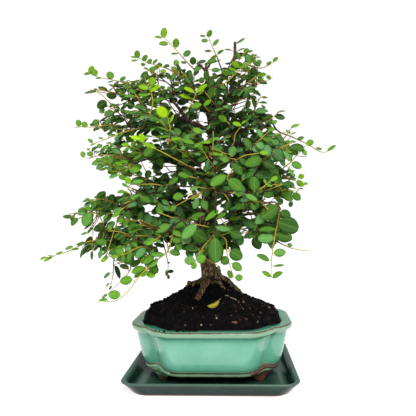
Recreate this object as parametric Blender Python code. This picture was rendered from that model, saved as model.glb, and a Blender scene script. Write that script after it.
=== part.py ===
"""A wall cotoneaster grown as a bonsai, in a glazed lobed pot that stands on a drip saucer.

Metres, +Z up. The origin is the centre of the saucer's underside, and the front faces -Y.
The tables of sizes are in millimetres, which MM turns into metres.
"""

import itertools
import math
import random

import bpy
from mathutils import Quaternion, Vector
from mathutils.bvhtree import BVHTree

MM = 0.001
GAP = 0.3 * MM
SHARP_EDGE = 38.0
UP = Vector((0, 0, 1))

# Saucer: half length, half depth and height of each ring of its skin, from underside over rim to floor
SAUCER_CORNER = 13.0
SAUCER_FLOOR = 4.5
SAUCER_RINGS = (
    (92.0, 70.0, 0.0),
    (93.6, 71.8, 2.0),
    (97.6, 76.0, 9.5),
    (101.2, 79.8, 15.6),
    (100.8, 79.4, 16.8),
    (98.2, 76.8, 16.8),
    (96.8, 75.4, 15.4),
    (92.6, 71.0, 9.0),
    (88.4, 66.8, 5.2),
    (85.0, 63.5, SAUCER_FLOOR),
)

# Pot: its plan is a long lobe and a deep lobe, which meet in soft inner corners
RIM_HALF_X = 100.0
RIM_HALF_Y = 78.0
NOTCH_X = 70.0
NOTCH_Y = 50.0
LOBE_RADIUS = 28.0
LOBE_POINTS = 4
SOFT_CORNER = 12.0
POT_TOP = 73.0
POT_UNDERSIDE = 16.6
POT_FLOOR = 20.5

# Pot skin, as inset from the rim and height: outside, up to the rim, then inside, down to the floor
POT_OUTSIDE = (
    (19.5, POT_UNDERSIDE),
    (17.0, 17.8),
    (16.6, 21.4),
    (14.0, 25.0),
    (8.8, 45.0),
    (6.2, 63.0),
    (0.8, 66.2),
    (0.0, 70.4),
    (1.8, POT_TOP),
)
POT_INSIDE = (
    (8.8, 72.2),
    (12.0, 66.0),
    (15.5, 38.0),
    (20.5, 24.5),
    (26.0, POT_FLOOR),
)

# Feet: under the inner corners, wide where they meet the pot and narrow on the saucer
FOOT_AT = (57.0, 36.0)
FOOT_SIDES = 8
FOOT_RINGS = (
    (13.5, 11.0, POT_UNDERSIDE + 1.5),
    (12.5, 10.0, POT_UNDERSIDE - 4.0),
    (10.5, 8.0, SAUCER_FLOOR + 0.3),
)
DRAIN_AT = 36.0
DRAIN_RADIUS = 6.5
DRAIN_SIDES = 10
SCREEN_SIDE = 21.0
SCREEN_THICK = 1.0
SCREEN_HOLE = 3.8
SCREEN_PITCH = 5.6

# Soil: how far along from the trunk's hole to the pot's wall, and how high there on the right and on
# the left, as shares of the mound's rise. Clods are the height, count and turn of its waves
SOIL_CLEARANCE = 0.6
SOIL_EDGE_INSET = 11.0
SOIL_EDGE = 69.8
MOUND_TOP = 116.0
HOLE_RADIUS = 17.0
HOLE_FLOOR = 78.0
CLODS = ((1.3, 5, 2.1), (0.9, 11, -1.0))
SCREEN_BED_ROOM = 0.4
SCREEN_BED_DEPTH = 3.6
MOUND = (
    (0.0, 1.0, 1.0),
    (0.16, 0.86, 0.98),
    (0.36, 0.66, 0.76),
    (0.58, 0.52, 0.58),
    (0.80, 0.34, 0.40),
    (0.94, 0.19, 0.22),
    (1.0, 0.0, 0.0),
)

# Trunk: centre and radius at each height
TRUNK_SIDES = 8
TRUNK = (
    (0.0, 0.0, 78.4, 13.0),
    (0.0, 0.0, 106.0, 15.4),
    (0.0, 0.0, 115.5, 16.2),
    (-2.0, 0.0, 121.5, 13.2),
    (-4.0, -0.5, 130.0, 10.6),
    (-5.5, -1.0, 140.0, 9.4),
    (-8.5, -2.0, 162.0, 8.8),
    (-9.0, -2.0, 188.0, 8.4),
    (-6.0, 1.0, 222.0, 7.8),
    (-1.0, 3.0, 258.0, 7.2),
    (2.0, 1.0, 300.0, 6.6),
    (2.0, -1.0, 340.0, 5.4),
    (-2.0, 0.0, 376.0, 4.0),
    (-6.0, 1.0, 404.0, 2.4),
)
BARK_RELIEF = 0.06

# Surface roots: bearing, length and radius where they leave the trunk
ROOTS = (
    (172.0, 20.0, 5.0),
    (238.0, 24.0, 6.4),
    (296.0, 20.0, 4.6),
    (340.0, 32.0, 5.6),
    (28.0, 26.0, 4.8),
    (102.0, 24.0, 5.0),
)
ROOT_SIDES = 5
ROOT_STEPS = 4
ROOT_START = 6.0
ROOT_LIFT = 1.6
ROOT_RISE = 9.0
ROOT_SWING = 9.0
ROOT_TAPER = 0.72

# Limbs. Each grows from the trunk at a height, or from an earlier limb at a share of its length, and its
# leafy shoot ends at a bearing, a distance out, a height and a pitch. The last number is its woody share
TRUNK_LIMB = None
LIMBS = (
    (TRUNK_LIMB, 160.0, 184.0, 203.0, 150.0, -16.0, 0.42),
    (0, 0.50, 152.0, 166.0, 170.0, -12.0, 0.36),
    (0, 0.42, 221.0, 153.0, 116.0, -44.0, 0.36),
    (TRUNK_LIMB, 172.0, 266.0, 110.0, 152.0, -58.0, 0.40),
    (3, 0.50, 287.0, 108.0, 134.0, -72.0, 0.30),
    (3, 0.60, 244.0, 132.0, 176.0, -18.0, 0.32),
    (TRUNK_LIMB, 190.0, 316.0, 116.0, 138.0, -84.0, 0.36),
    (6, 0.70, 338.0, 128.0, 182.0, -22.0, 0.32),
    (TRUNK_LIMB, 178.0, 356.0, 124.0, 160.0, -26.0, 0.40),
    (8, 0.60, 20.0, 122.0, 200.0, -4.0, 0.36),
    (TRUNK_LIMB, 176.0, 58.0, 124.0, 170.0, -22.0, 0.42),
    (TRUNK_LIMB, 168.0, 104.0, 126.0, 164.0, -16.0, 0.42),
    (11, 0.60, 130.0, 142.0, 196.0, -6.0, 0.36),
    (TRUNK_LIMB, 198.0, 192.0, 186.0, 207.0, -8.0, 0.42),
    (13, 0.50, 166.0, 168.0, 226.0, -6.0, 0.36),
    (TRUNK_LIMB, 204.0, 230.0, 144.0, 214.0, -14.0, 0.42),
    (TRUNK_LIMB, 211.0, 276.0, 130.0, 224.0, -20.0, 0.40),
    (16, 0.60, 300.0, 136.0, 204.0, -34.0, 0.34),
    (TRUNK_LIMB, 220.0, 334.0, 136.0, 232.0, -8.0, 0.42),
    (18, 0.60, 355.0, 128.0, 256.0, 4.0, 0.36),
    (TRUNK_LIMB, 225.0, 44.0, 122.0, 238.0, -10.0, 0.42),
    (20, 0.60, 74.0, 116.0, 216.0, -14.0, 0.36),
    (TRUNK_LIMB, 232.0, 108.0, 116.0, 256.0, -4.0, 0.42),
    (22, 0.60, 146.0, 138.0, 262.0, -4.0, 0.36),
    (TRUNK_LIMB, 250.0, 185.0, 174.0, 286.0, 2.0, 0.42),
    (24, 0.46, 214.0, 150.0, 258.0, -12.0, 0.36),
    (TRUNK_LIMB, 259.0, 248.0, 116.0, 286.0, 4.0, 0.40),
    (26, 0.60, 274.0, 122.0, 262.0, -10.0, 0.34),
    (TRUNK_LIMB, 264.0, 349.0, 162.0, 293.0, 8.0, 0.42),
    (28, 0.46, 318.0, 126.0, 276.0, -6.0, 0.36),
    (TRUNK_LIMB, 262.0, 36.0, 118.0, 290.0, 4.0, 0.42),
    (TRUNK_LIMB, 271.0, 92.0, 108.0, 300.0, 4.0, 0.40),
    (31, 0.60, 130.0, 124.0, 306.0, 6.0, 0.36),
    (TRUNK_LIMB, 288.0, 180.0, 182.0, 325.0, 2.0, 0.40),
    (33, 0.40, 222.0, 120.0, 324.0, 6.0, 0.36),
    (TRUNK_LIMB, 296.0, 284.0, 92.0, 326.0, 6.0, 0.40),
    (TRUNK_LIMB, 293.0, 336.0, 114.0, 328.0, 14.0, 0.40),
    (36, 0.50, 12.0, 104.0, 346.0, 18.0, 0.36),
    (TRUNK_LIMB, 303.0, 60.0, 92.0, 344.0, 12.0, 0.40),
    (TRUNK_LIMB, 308.0, 122.0, 98.0, 350.0, 14.0, 0.40),
    (TRUNK_LIMB, 315.0, 186.0, 168.0, 370.0, 6.0, 0.38),
    (40, 0.44, 174.0, 166.0, 398.0, 12.0, 0.36),
    (TRUNK_LIMB, 322.0, 248.0, 76.0, 374.0, 26.0, 0.36),
    (TRUNK_LIMB, 327.0, 322.0, 80.0, 374.0, 22.0, 0.36),
    (TRUNK_LIMB, 330.0, 12.0, 78.0, 396.0, 34.0, 0.34),
    (TRUNK_LIMB, 330.0, 100.0, 70.0, 394.0, 38.0, 0.34),
    (TRUNK_LIMB, 342.0, 170.0, 108.0, 416.0, 22.0, 0.30),
    (TRUNK_LIMB, 384.0, 350.0, 88.0, 411.0, 30.0, 0.30),
    (TRUNK_LIMB, 393.0, 168.0, 58.0, 450.0, 56.0, 0.24),
    (TRUNK_LIMB, 400.0, 60.0, 8.0, 444.0, 74.0, 0.16),
)
CUT_STUB = (
    (2.0, 0.0, 372.0, 2.4),
    (20.0, 0.0, 398.0, 2.2),
    (30.0, 0.0, 420.0, 2.0),
    (32.0, 0.0, 434.0, 1.8),
)
LIMB_RADIUS = 3.4
FORK_RADIUS = 2.4
LIMB_END_RADIUS = 1.7
LIMB_SIDES = 4
LIMB_STEPS = 3
FORK_STEPS = 2
FIRST_PITCH = (20.0, 52.0)
LAST_PITCH_SPREAD = 9.0
HANDLE = 0.40
LIMB_SEED = 11
LIMB_TRIES = 40
LIMB_BEND = 12.0
WOOD_SPACING = 4.6

# Shoots: a three-sided twig with its leaves in two ranks, and one or two side twigs
TWIG_RADIUS = 1.15
TWIG_TIP_RADIUS = 0.8
NODE_LENGTH = 2.0
NODE_SPACING = 23.5
FIRST_NODE = 0.55
LAST_STEM = 4.0
HINT_STRAY = 0.25
SIDE_TWIG_SHARES = (0.05, 0.5)
SIDE_TWIG_LENGTH = (26.0, 40.0)
SIDE_TWIG_ANGLE = (40.0, 60.0)
SIDE_TWIG_RISE = (-0.05, 0.55)
SIDE_TWIG_ARCH = 0.07
SIDE_TWIG_TRIES = 12
SIDE_TWIG_LEAN = 0.35
SIDE_FACE_TILT = 30.0
SHOOT_SEED = 200

# Leaves: the stations of a blade, as shares of its length and of its width
LEAF_LENGTH = (12.0, 15.0)
LEAF_SHAPE = 0.78
LEAF_THICK = 0.7
LEAF_STATIONS = ((0.34, 0.88), (0.73, 0.86), (1.0, 0.0))
LEAF_ANGLE = (54.0, 78.0)
LEAF_DROOP = 7.0
LEAF_TRIES = 12
LEAF_TURN = 0.30
OWN_STEP = 1.5
NUDGE = 1e-6
LEAF_FREE_FROM = 0.16
LEAF_REACH = 0.62
LEAF_WIDTHS = (0.92, 1.06)
LEAF_DROOPS = (0.2, 1.6)
TIP_LEAF_TURN = 8.0
TWIG_FACING = 0.6
FACING_UP = 0.55
FACING_OUT = 0.45
FACING_ACROSS = 0.55
FACING_HELD = 0.7
FRONT_LIMIT = 20.0
LEAF_ROOM = 0.5
LEAF_SEED = 900
SPRAY_TRIES = 20
FALLEN_LEAF_AT = (4.0, -40.0)
FALLEN_LEAF_BEARING = 214.0
FALLEN_LEAF_SIZE = (13.0, 9.0)


# Objects and materials


def clear_scene():
    for thing in list(bpy.data.objects):
        bpy.data.objects.remove(thing, do_unlink=True)


def make_material(name, colour, roughness, metallic=0.0):
    material = bpy.data.materials.new(name)
    material.use_nodes = True
    shader = material.node_tree.nodes["Principled BSDF"]
    shader.inputs["Base Color"].default_value = (*colour, 1.0)
    shader.inputs["Roughness"].default_value = roughness
    shader.inputs["Metallic"].default_value = metallic
    material.diffuse_color = (*colour, 1.0)
    return material


def add_object(name, points, faces, materials, finishes=None):
    mesh = bpy.data.meshes.new(name)
    mesh.from_pydata([tuple(p) for p in points], [], faces)
    for material in materials:
        mesh.materials.append(material)
    if finishes:
        mesh.polygons.foreach_set("material_index", finishes)
    mesh.update()
    thing = bpy.data.objects.new(name, mesh)
    bpy.context.scene.collection.objects.link(thing)
    return thing


def shade_smooth(thing):
    """Soft shading over the faces of a round piece, with its sharper edges kept."""
    thing.data.shade_smooth()
    thing.data.set_sharp_from_angle(angle=math.radians(SHARP_EDGE))


def group_of(name, parts):
    group = bpy.data.collections.new(name)
    bpy.context.scene.collection.children.link(group)
    for part in parts:
        bpy.context.scene.collection.objects.unlink(part)
        group.objects.link(part)
    return group


def combine(target, parts, operation):
    """One Boolean with all the parts, applied, with the parts then removed."""
    group = group_of(target.name + "_parts", parts)
    boolean = target.modifiers.new("Combine", "BOOLEAN")
    boolean.operation = operation
    boolean.solver = "EXACT"
    boolean.operand_type = "COLLECTION"
    boolean.collection = group
    evaluated = target.evaluated_get(bpy.context.evaluated_depsgraph_get())
    mesh = bpy.data.meshes.new_from_object(evaluated)
    target.modifiers.clear()
    target.data = mesh
    for part in parts:
        bpy.data.objects.remove(part, do_unlink=True)
    bpy.data.collections.remove(group)
    return target


def tree_of(thing):
    mesh = thing.data
    points = [v.co.copy() for v in mesh.vertices]
    return BVHTree.FromPolygons(points, [tuple(p.vertices) for p in mesh.polygons])


# Skins made of rings


def skin_of_rings(rings):
    """Faces of a closed skin through rings of equal count, with a flat face over each end."""
    count = len(rings[0])
    faces = [tuple(reversed(range(count)))]
    for i in range(len(rings) - 1):
        low = i * count
        high = low + count
        for k in range(count):
            after = (k + 1) % count
            faces.append((low + k, low + after, high + after, high + k))
    top = (len(rings) - 1) * count
    faces.append(tuple(range(top, top + count)))
    points = [point for ring in rings for point in ring]
    return points, faces


def rounded_rectangle(half_x, half_y, radius, corner_points=4):
    outline = []
    for quarter in range(4):
        sign_x = 1 if quarter in (0, 3) else -1
        sign_y = 1 if quarter in (0, 1) else -1
        for i in range(corner_points):
            angle = math.radians(90 * (quarter + i / (corner_points - 1)))
            x = sign_x * (half_x - radius) + radius * math.cos(angle)
            y = sign_y * (half_y - radius) + radius * math.sin(angle)
            outline.append((x, y))
    return outline


def lobed_outline(inset):
    """The pot's plan at an inset from its rim, which draws the lobes in evenly."""
    quarter = []
    for centre_x, centre_y, first, last in (
        (RIM_HALF_X - LOBE_RADIUS, NOTCH_Y - LOBE_RADIUS, 0, 90 - SOFT_CORNER),
        (NOTCH_X - LOBE_RADIUS, RIM_HALF_Y - LOBE_RADIUS, SOFT_CORNER, 90),
    ):
        for i in range(LOBE_POINTS):
            angle = math.radians(first + (last - first) * i / (LOBE_POINTS - 1))
            x = centre_x + LOBE_RADIUS * math.cos(angle)
            y = centre_y + LOBE_RADIUS * math.sin(angle)
            quarter.append((x, y))
    scale_x = 1 - inset / RIM_HALF_X
    scale_y = 1 - inset / RIM_HALF_Y
    quarter = [(x * scale_x, y * scale_y) for x, y in quarter]
    left = [(-x, y) for x, y in reversed(quarter)]
    back = quarter + left
    return back + [(-x, -y) for x, y in back]


def ring_at(outline, height):
    return [Vector((x * MM, y * MM, height * MM)) for x, y in outline]


def build_saucer(glaze):
    rings = []
    for half_x, half_y, height in SAUCER_RINGS:
        inset = SAUCER_RINGS[3][0] - half_x
        radius = max(SAUCER_CORNER - 0.5 * inset, 4.0)
        rings.append(ring_at(rounded_rectangle(half_x, half_y, radius), height))
    points, faces = skin_of_rings(rings)
    return add_object("saucer", points, faces, [glaze])


def build_foot(sign_x, sign_y):
    rings = []
    for half_x, half_y, height in reversed(FOOT_RINGS):
        outline = []
        for i in range(FOOT_SIDES):
            angle = 2 * math.pi * (i + 0.5) / FOOT_SIDES
            x = sign_x * FOOT_AT[0] + half_x * math.cos(angle)
            y = sign_y * FOOT_AT[1] + half_y * math.sin(angle)
            outline.append((x, y))
        rings.append(ring_at(outline, height))
    points, faces = skin_of_rings(rings)
    return add_object("pot_foot", points, faces, [])


def build_drill(sign_x):
    outline = []
    for i in range(DRAIN_SIDES):
        angle = 2 * math.pi * i / DRAIN_SIDES
        outline.append((sign_x * DRAIN_AT + DRAIN_RADIUS * math.cos(angle), DRAIN_RADIUS * math.sin(angle)))
    rings = [ring_at(outline, POT_UNDERSIDE - 4.0), ring_at(outline, POT_FLOOR + 4.0)]
    points, faces = skin_of_rings(rings)
    return add_object("pot_drill", points, faces, [])


def build_pot(glaze):
    rings = [ring_at(lobed_outline(inset), height) for inset, height in POT_OUTSIDE + POT_INSIDE]
    points, faces = skin_of_rings(rings)
    pot = add_object("pot", points, faces, [glaze])
    feet = [build_foot(x, y) for x in (-1, 1) for y in (-1, 1)]
    combine(pot, feet, "UNION")
    combine(pot, [build_drill(-1), build_drill(1)], "DIFFERENCE")
    return pot


def build_box(name, half, centre):
    x, y, z = (side * MM for side in half)
    corners = [Vector((sx * x, sy * y, 0)) for sx, sy in ((-1, -1), (1, -1), (1, 1), (-1, 1))]
    middle = Vector(centre) * MM
    rings = [[middle + c - UP * z for c in corners], [middle + c + UP * z for c in corners]]
    points, faces = skin_of_rings(rings)
    return add_object(name, points, faces, [])


def build_screen(name, sign_x, plastic):
    """A square net over a drain hole, with square meshes."""
    height = POT_FLOOR + GAP / MM + SCREEN_THICK / 2
    half = SCREEN_SIDE / 2
    screen = build_box(name, (half, half, SCREEN_THICK / 2), (sign_x * DRAIN_AT, 0, height))
    screen.data.materials.append(plastic)
    punches = []
    for i in (-1, 0, 1):
        for j in (-1, 0, 1):
            place = (sign_x * DRAIN_AT + i * SCREEN_PITCH, j * SCREEN_PITCH, height)
            punches.append(build_box("punch", (SCREEN_HOLE / 2, SCREEN_HOLE / 2, SCREEN_THICK), place))
    return combine(screen, punches, "DIFFERENCE")


def mound_share(step, bearing):
    _, right, left = step
    mix = 0.5 - 0.5 * math.cos(bearing)
    return right + (left - right) * mix


def build_soil(peat):
    """The root ball, from the floor of the trunk's hole out over the mound and down the pot's wall."""
    wall = [(inset + SOIL_CLEARANCE, height) for inset, height in POT_INSIDE[1:]]
    edge = lobed_outline(SOIL_EDGE_INSET)
    bearings = [2 * math.pi * (i + 0.5) / len(edge) for i in range(len(edge))]
    hole = [(HOLE_RADIUS * math.cos(b), HOLE_RADIUS * math.sin(b)) for b in bearings]
    rings = [ring_at(hole, HOLE_FLOOR)]
    for k, step in enumerate(MOUND):
        ring = []
        for i, bearing in enumerate(bearings):
            x = hole[i][0] + (edge[i][0] - hole[i][0]) * step[0]
            y = hole[i][1] + (edge[i][1] - hole[i][1]) * step[0]
            rise = mound_share(step, bearing)
            clods = 0.0
            if 1 < k < len(MOUND) - 1:
                clods = sum(high * math.sin(count * bearing + turn * k) for high, count, turn in CLODS)
            z = SOIL_EDGE + (MOUND_TOP - SOIL_EDGE) * rise + clods
            ring.append(Vector((x, y, z)) * MM)
        rings.append(ring)
    for inset, height in wall[:-1]:
        if height < SOIL_EDGE - 3:
            rings.append(ring_at(lobed_outline(inset), height))
    floor_inset, floor_height = wall[-1]
    rings.append(ring_at(lobed_outline(floor_inset), floor_height + GAP / MM))
    points, faces = skin_of_rings(rings)
    flipped = [tuple(reversed(face)) for face in faces]
    soil = add_object("soil", points, flipped, [peat])
    beds = []
    for sign_x in (-1, 1):
        half = SCREEN_SIDE / 2 + SCREEN_BED_ROOM
        place = (sign_x * DRAIN_AT, 0, POT_FLOOR + 2 * GAP / MM + SCREEN_THICK - SCREEN_BED_DEPTH)
        beds.append(build_box("screen_bed", (half, half, SCREEN_BED_DEPTH), place))
    return combine(soil, beds, "DIFFERENCE")


# Wood


def direction(bearing, pitch):
    a = math.radians(bearing)
    p = math.radians(pitch)
    return Vector((math.cos(p) * math.cos(a), math.cos(p) * math.sin(a), math.sin(p)))


def bearing_of(vector):
    return math.degrees(math.atan2(vector.y, vector.x))


def trunk_at(height):
    """The trunk's centre and radius at a height in metres."""
    z = height / MM
    for low, high in zip(TRUNK, TRUNK[1:]):
        if low[2] <= z <= high[2]:
            t = (z - low[2]) / (high[2] - low[2])
            centre = Vector([low[i] + (high[i] - low[i]) * t for i in range(3)]) * MM
            return centre, (low[3] + (high[3] - low[3]) * t) * MM
    top = TRUNK[-1]
    return Vector(top[:3]) * MM, top[3] * MM


def bezier(controls, t):
    a, b, c, d = controls
    u = 1 - t
    return a * u**3 + b * (3 * u * u * t) + c * (3 * u * t * t) + d * t**3


def curve_points(controls, first=0.0, last=1.0, steps=24):
    return [bezier(controls, first + (last - first) * i / steps) for i in range(steps + 1)]


def length_of(points):
    return sum((b - a).length for a, b in zip(points, points[1:]))


def along(points, distance):
    """The place and the direction at a distance along a polyline."""
    left = max(distance, 0.0)
    for a, b in zip(points, points[1:]):
        span = (b - a).length
        if left <= span:
            return a.lerp(b, left / span), (b - a).normalized()
        left -= span
    return points[-1].copy(), (points[-1] - points[-2]).normalized()


def too_near(points, others, room):
    for a in points:
        for b in others:
            if (a - b).length_squared < room * room:
                return True
    return False


def limb_controls(start, tip, last_pitch, draw, amount):
    heading = bearing_of(tip - start)
    reach = HANDLE * (tip - start).length
    first_pitch = draw.uniform(*FIRST_PITCH)
    last_pitch += draw.uniform(-LAST_PITCH_SPREAD, LAST_PITCH_SPREAD)
    bend = Vector([draw.uniform(-1, 1) for _ in range(3)]) * amount
    first = start + direction(heading, first_pitch) * reach + bend
    second = tip - direction(heading, last_pitch) * reach - 0.6 * bend
    return start, first, second, tip


def plan_limbs():
    """Each limb's curve, and where its wood ends. A limb that would touch an earlier one is bent clear."""
    plans = []
    taken = []
    for k, (parent, place, bearing, out, height, pitch, share) in enumerate(LIMBS):
        tip = direction(bearing, 0) * out * MM + UP * height * MM
        if parent is TRUNK_LIMB:
            start, _ = trunk_at(place * MM)
        else:
            start = bezier(plans[parent]["controls"], plans[parent]["share"] * place)
        draw = random.Random(LIMB_SEED + k)
        clear_from = (20 if parent is TRUNK_LIMB else 9) * MM
        for attempt in range(LIMB_TRIES):
            amount = LIMB_BEND * MM * (1 + 0.12 * attempt)
            controls = limb_controls(start, tip, pitch, draw, amount)
            points = curve_points(controls, steps=36)
            free = [p for p in points if (p - start).length > clear_from]
            if not too_near(free, taken, WOOD_SPACING * MM):
                break
        taken.extend(free)
        plans.append({"controls": controls, "share": share, "fork": parent is not TRUNK_LIMB})
    return plans


def tube(points, radii, sides, turn=0.0):
    """Rings of a tube along points, each square to the path."""
    rings = []
    side = UP.cross(points[1] - points[0])
    if side.length < 1e-9:
        side = Vector((1, 0, 0))
    for i, point in enumerate(points):
        ahead = points[min(i + 1, len(points) - 1)] - points[max(i - 1, 0)]
        ahead.normalize()
        side = (side - ahead * side.dot(ahead)).normalized()
        over = ahead.cross(side)
        ring = []
        for k in range(sides):
            angle = 2 * math.pi * k / sides + turn
            ring.append(point + (side * math.cos(angle) + over * math.sin(angle)) * radii[i])
        rings.append(ring)
    return rings


def build_limb(plan):
    last = plan["share"]
    steps = FORK_STEPS if plan["fork"] else LIMB_STEPS
    points = [bezier(plan["controls"], last * i / steps) for i in range(steps + 1)]
    first_radius = (FORK_RADIUS if plan["fork"] else LIMB_RADIUS) * MM
    end_radius = LIMB_END_RADIUS * MM
    radii = [first_radius + (end_radius - first_radius) * i / steps for i in range(steps + 1)]
    wood = curve_points(plan["controls"], 0, last, 60)
    end, tangent = along(wood, length_of(wood))
    rings = tube(points, radii, LIMB_SIDES, math.pi / 4)
    rings[-1] = flat_ring(end, tangent, end_radius, LIMB_SIDES, math.pi / 4)
    skin, faces = skin_of_rings(rings)
    return add_object("limb", skin, faces, [])


def flat_ring(centre, ahead, radius, sides, turn):
    side = UP.cross(ahead).normalized()
    over = ahead.cross(side)
    ring = []
    for k in range(sides):
        angle = 2 * math.pi * k / sides + turn
        ring.append(centre + (side * math.cos(angle) + over * math.sin(angle)) * radius)
    return ring


def build_root(bearing, length, radius, soil_tree):
    """A root that leaves the flare and lies down along the mound, just clear of it."""
    points = []
    radii = []
    for i in range(ROOT_STEPS + 1):
        t = i / ROOT_STEPS
        swing = math.radians(bearing + ROOT_SWING * math.sin(2.5 * t + bearing))
        out = (ROOT_START + t * (length + HOLE_RADIUS - ROOT_START)) * MM
        radius_here = radius * (1 - ROOT_TAPER * t) * MM
        place = Vector((math.cos(swing) * out, math.sin(swing) * out, 2 * MOUND_TOP * MM))
        hit, normal, _, _ = soil_tree.ray_cast(place, -UP)
        if out < (HOLE_RADIUS + 1) * MM:
            hit = Vector((place.x, place.y, MOUND_TOP * MM))
            normal = UP
        points.append(hit + normal * (radius_here + ROOT_LIFT * MM))
        radii.append(radius_here)
    points[0].z = (MOUND_TOP + ROOT_RISE) * MM
    rings = tube(points, radii, ROOT_SIDES)
    skin, faces = skin_of_rings(rings)
    return add_object("root", skin, faces, [])


def build_trunk(bark, plans, soil_tree):
    rings = []
    for i, (x, y, z, radius) in enumerate(TRUNK):
        ring = []
        for k in range(TRUNK_SIDES):
            angle = 2 * math.pi * k / TRUNK_SIDES
            relief = 0.0 if i < 3 else BARK_RELIEF * math.sin(3 * angle + 1.7 * i)
            reach = radius * (1 + relief)
            ring.append(Vector((x + reach * math.cos(angle), y + reach * math.sin(angle), z)) * MM)
        rings.append(ring)
    points, faces = skin_of_rings(rings)
    trunk = add_object("trunk", points, faces, [bark])
    parts = [build_limb(plan) for plan in plans]
    parts += [build_root(*root, soil_tree) for root in ROOTS]
    stub = [Vector(station[:3]) * MM for station in CUT_STUB]
    stub_rings = tube(stub, [station[3] * MM for station in CUT_STUB], LIMB_SIDES + 1)
    skin, faces = skin_of_rings(stub_rings)
    parts.append(add_object("cut_stub", skin, faces, []))
    return combine(trunk, parts, "UNION")


# Leafy shoots


class Growth:
    """One closed skin of twigs and blades, each grown out of a face of the one before.

    TWIG and BLADE number the materials. MIRRORED is the side of a blade whose diagonal is turned, so
    that both its halves match.
    """

    TWIG = 0
    BLADE = 1
    MIRRORED = 2

    def __init__(self):
        self.points = []
        self.faces = []
        self.finishes = []

    def ring(self, corners):
        first = len(self.points)
        self.points.extend(corners)
        return list(range(first, len(self.points)))

    def face(self, corners, finish):
        self.faces.append(tuple(corners))
        self.finishes.append(finish)

    def skin(self, corners, triangles, finish):
        for triangle in triangles:
            self.face([corners[i] for i in triangle], finish)

    def bridge(self, old, new, pairs, finish):
        """Faces from an old ring to a new one, where pairs says which corners lie side by side."""
        for k, (a, b) in enumerate(pairs):
            c, d = pairs[(k + 1) % len(pairs)]
            corners = [old[a], old[c], new[d], new[b]]
            if b == d:
                self.face(corners[:3], finish)
            elif k == self.MIRRORED:
                self.face((corners[0], corners[1], corners[3]), finish)
                self.face(corners[1:], finish)
            else:
                self.face(corners[:3], finish)
                self.face((corners[0], corners[2], corners[3]), finish)


def hull_sides(base, new):
    """The side triangles of the convex body between two rings, or nothing if it hides part of a ring."""
    points = base + new
    split = len(base)
    moved = []
    for i, point in enumerate(points):
        moved.append(point + Vector((math.sin(7 * i), math.sin(11 * i), math.sin(13 * i))) * NUDGE)
    triangles = []
    for a, b, c in itertools.combinations(range(len(points)), 3):
        if c < split or a >= split:
            continue
        normal = (moved[b] - moved[a]).cross(moved[c] - moved[a])
        heights = [(p - moved[a]).dot(normal) for i, p in enumerate(moved) if i not in (a, b, c)]
        if max(heights) < 0:
            triangles.append((a, b, c))
        elif min(heights) > 0:
            triangles.append((a, c, b))
    edges = [(t[i], t[(i + 1) % 3]) for t in triangles for i in range(3)]
    rims = [(i, (i + 1) % split) for i in range(split)]
    rims += [(split + (i + 1) % len(new), split + i) for i in range(len(new))]
    if len(triangles) != len(points) or any(rim not in edges for rim in rims):
        return None
    return triangles


def twig_ring(centre, ahead, above, radius):
    side = above.cross(ahead)
    low = -0.5 * above
    wide = side * math.cos(math.radians(30))
    return [centre + above * radius, centre + (low - wide) * radius, centre + (low + wide) * radius]


def blade_ring(centre, ahead, above, half_width, half_thick):
    side = above.cross(ahead) * half_width
    rise = above * half_thick
    return [centre + side + rise, centre - side + rise, centre - side - rise, centre + side - rise]


def square_to(vector, axis):
    return (vector - axis * vector.dot(axis)).normalized()


def turned(vector, axis, degrees):
    return Quaternion(axis, math.radians(degrees)) @ vector


def blade_rings(root, ahead, above, length, width, thick, droop):
    """The two rings and the two points of the tip of a blade that bends down a little."""
    rings = []
    centre = root.copy()
    reached = 0.0
    for station, share in LEAF_STATIONS:
        centre = centre + ahead * (station - reached) * length
        reached = station
        half_width = 0.5 * width * share
        rings.append(blade_ring(centre, ahead, above, half_width, 0.5 * thick))
        side = above.cross(ahead)
        ahead = turned(ahead, side, droop)
        above = turned(above, side, droop)
    tip = rings.pop()
    return rings, [tip[0], tip[3]]


def blade_tree(root, ahead, above, length, width, droop):
    """The space a blade needs, a little larger than the blade, without its root."""
    room = LEAF_ROOM * MM
    start = root + ahead * LEAF_FREE_FROM * length
    free = (1.03 - LEAF_FREE_FROM) * length
    thick = LEAF_THICK * MM + 2 * room
    rings, tip = blade_rings(start, ahead, above, free, width + 2 * room, thick, droop)
    first = blade_ring(start, ahead, above, 0.3 * width, 0.5 * thick)
    corners = first + rings[0] + rings[1] + [tip[0], tip[0], tip[1], tip[1]]
    faces = [(0, 1, 2, 3)]
    for i in range(3):
        for k in range(4):
            after = (k + 1) % 4
            faces.append((4 * i + k, 4 * i + after, 4 * i + 4 + after, 4 * i + 4 + k))
    return BVHTree.FromPolygons(corners, faces)


def plan_twig(points, above_hint, spacing):
    """Stations along a twig: its start, a short node for each pair of leaves, and its end."""
    length = length_of(points)
    count = max(1, int(length / (spacing * MM)))
    first = FIRST_NODE * length / count
    nodes = [first + (length - first - LAST_STEM * MM) * i / count for i in range(count)]
    return {"points": points, "hint": above_hint, "nodes": nodes, "length": length}


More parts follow.
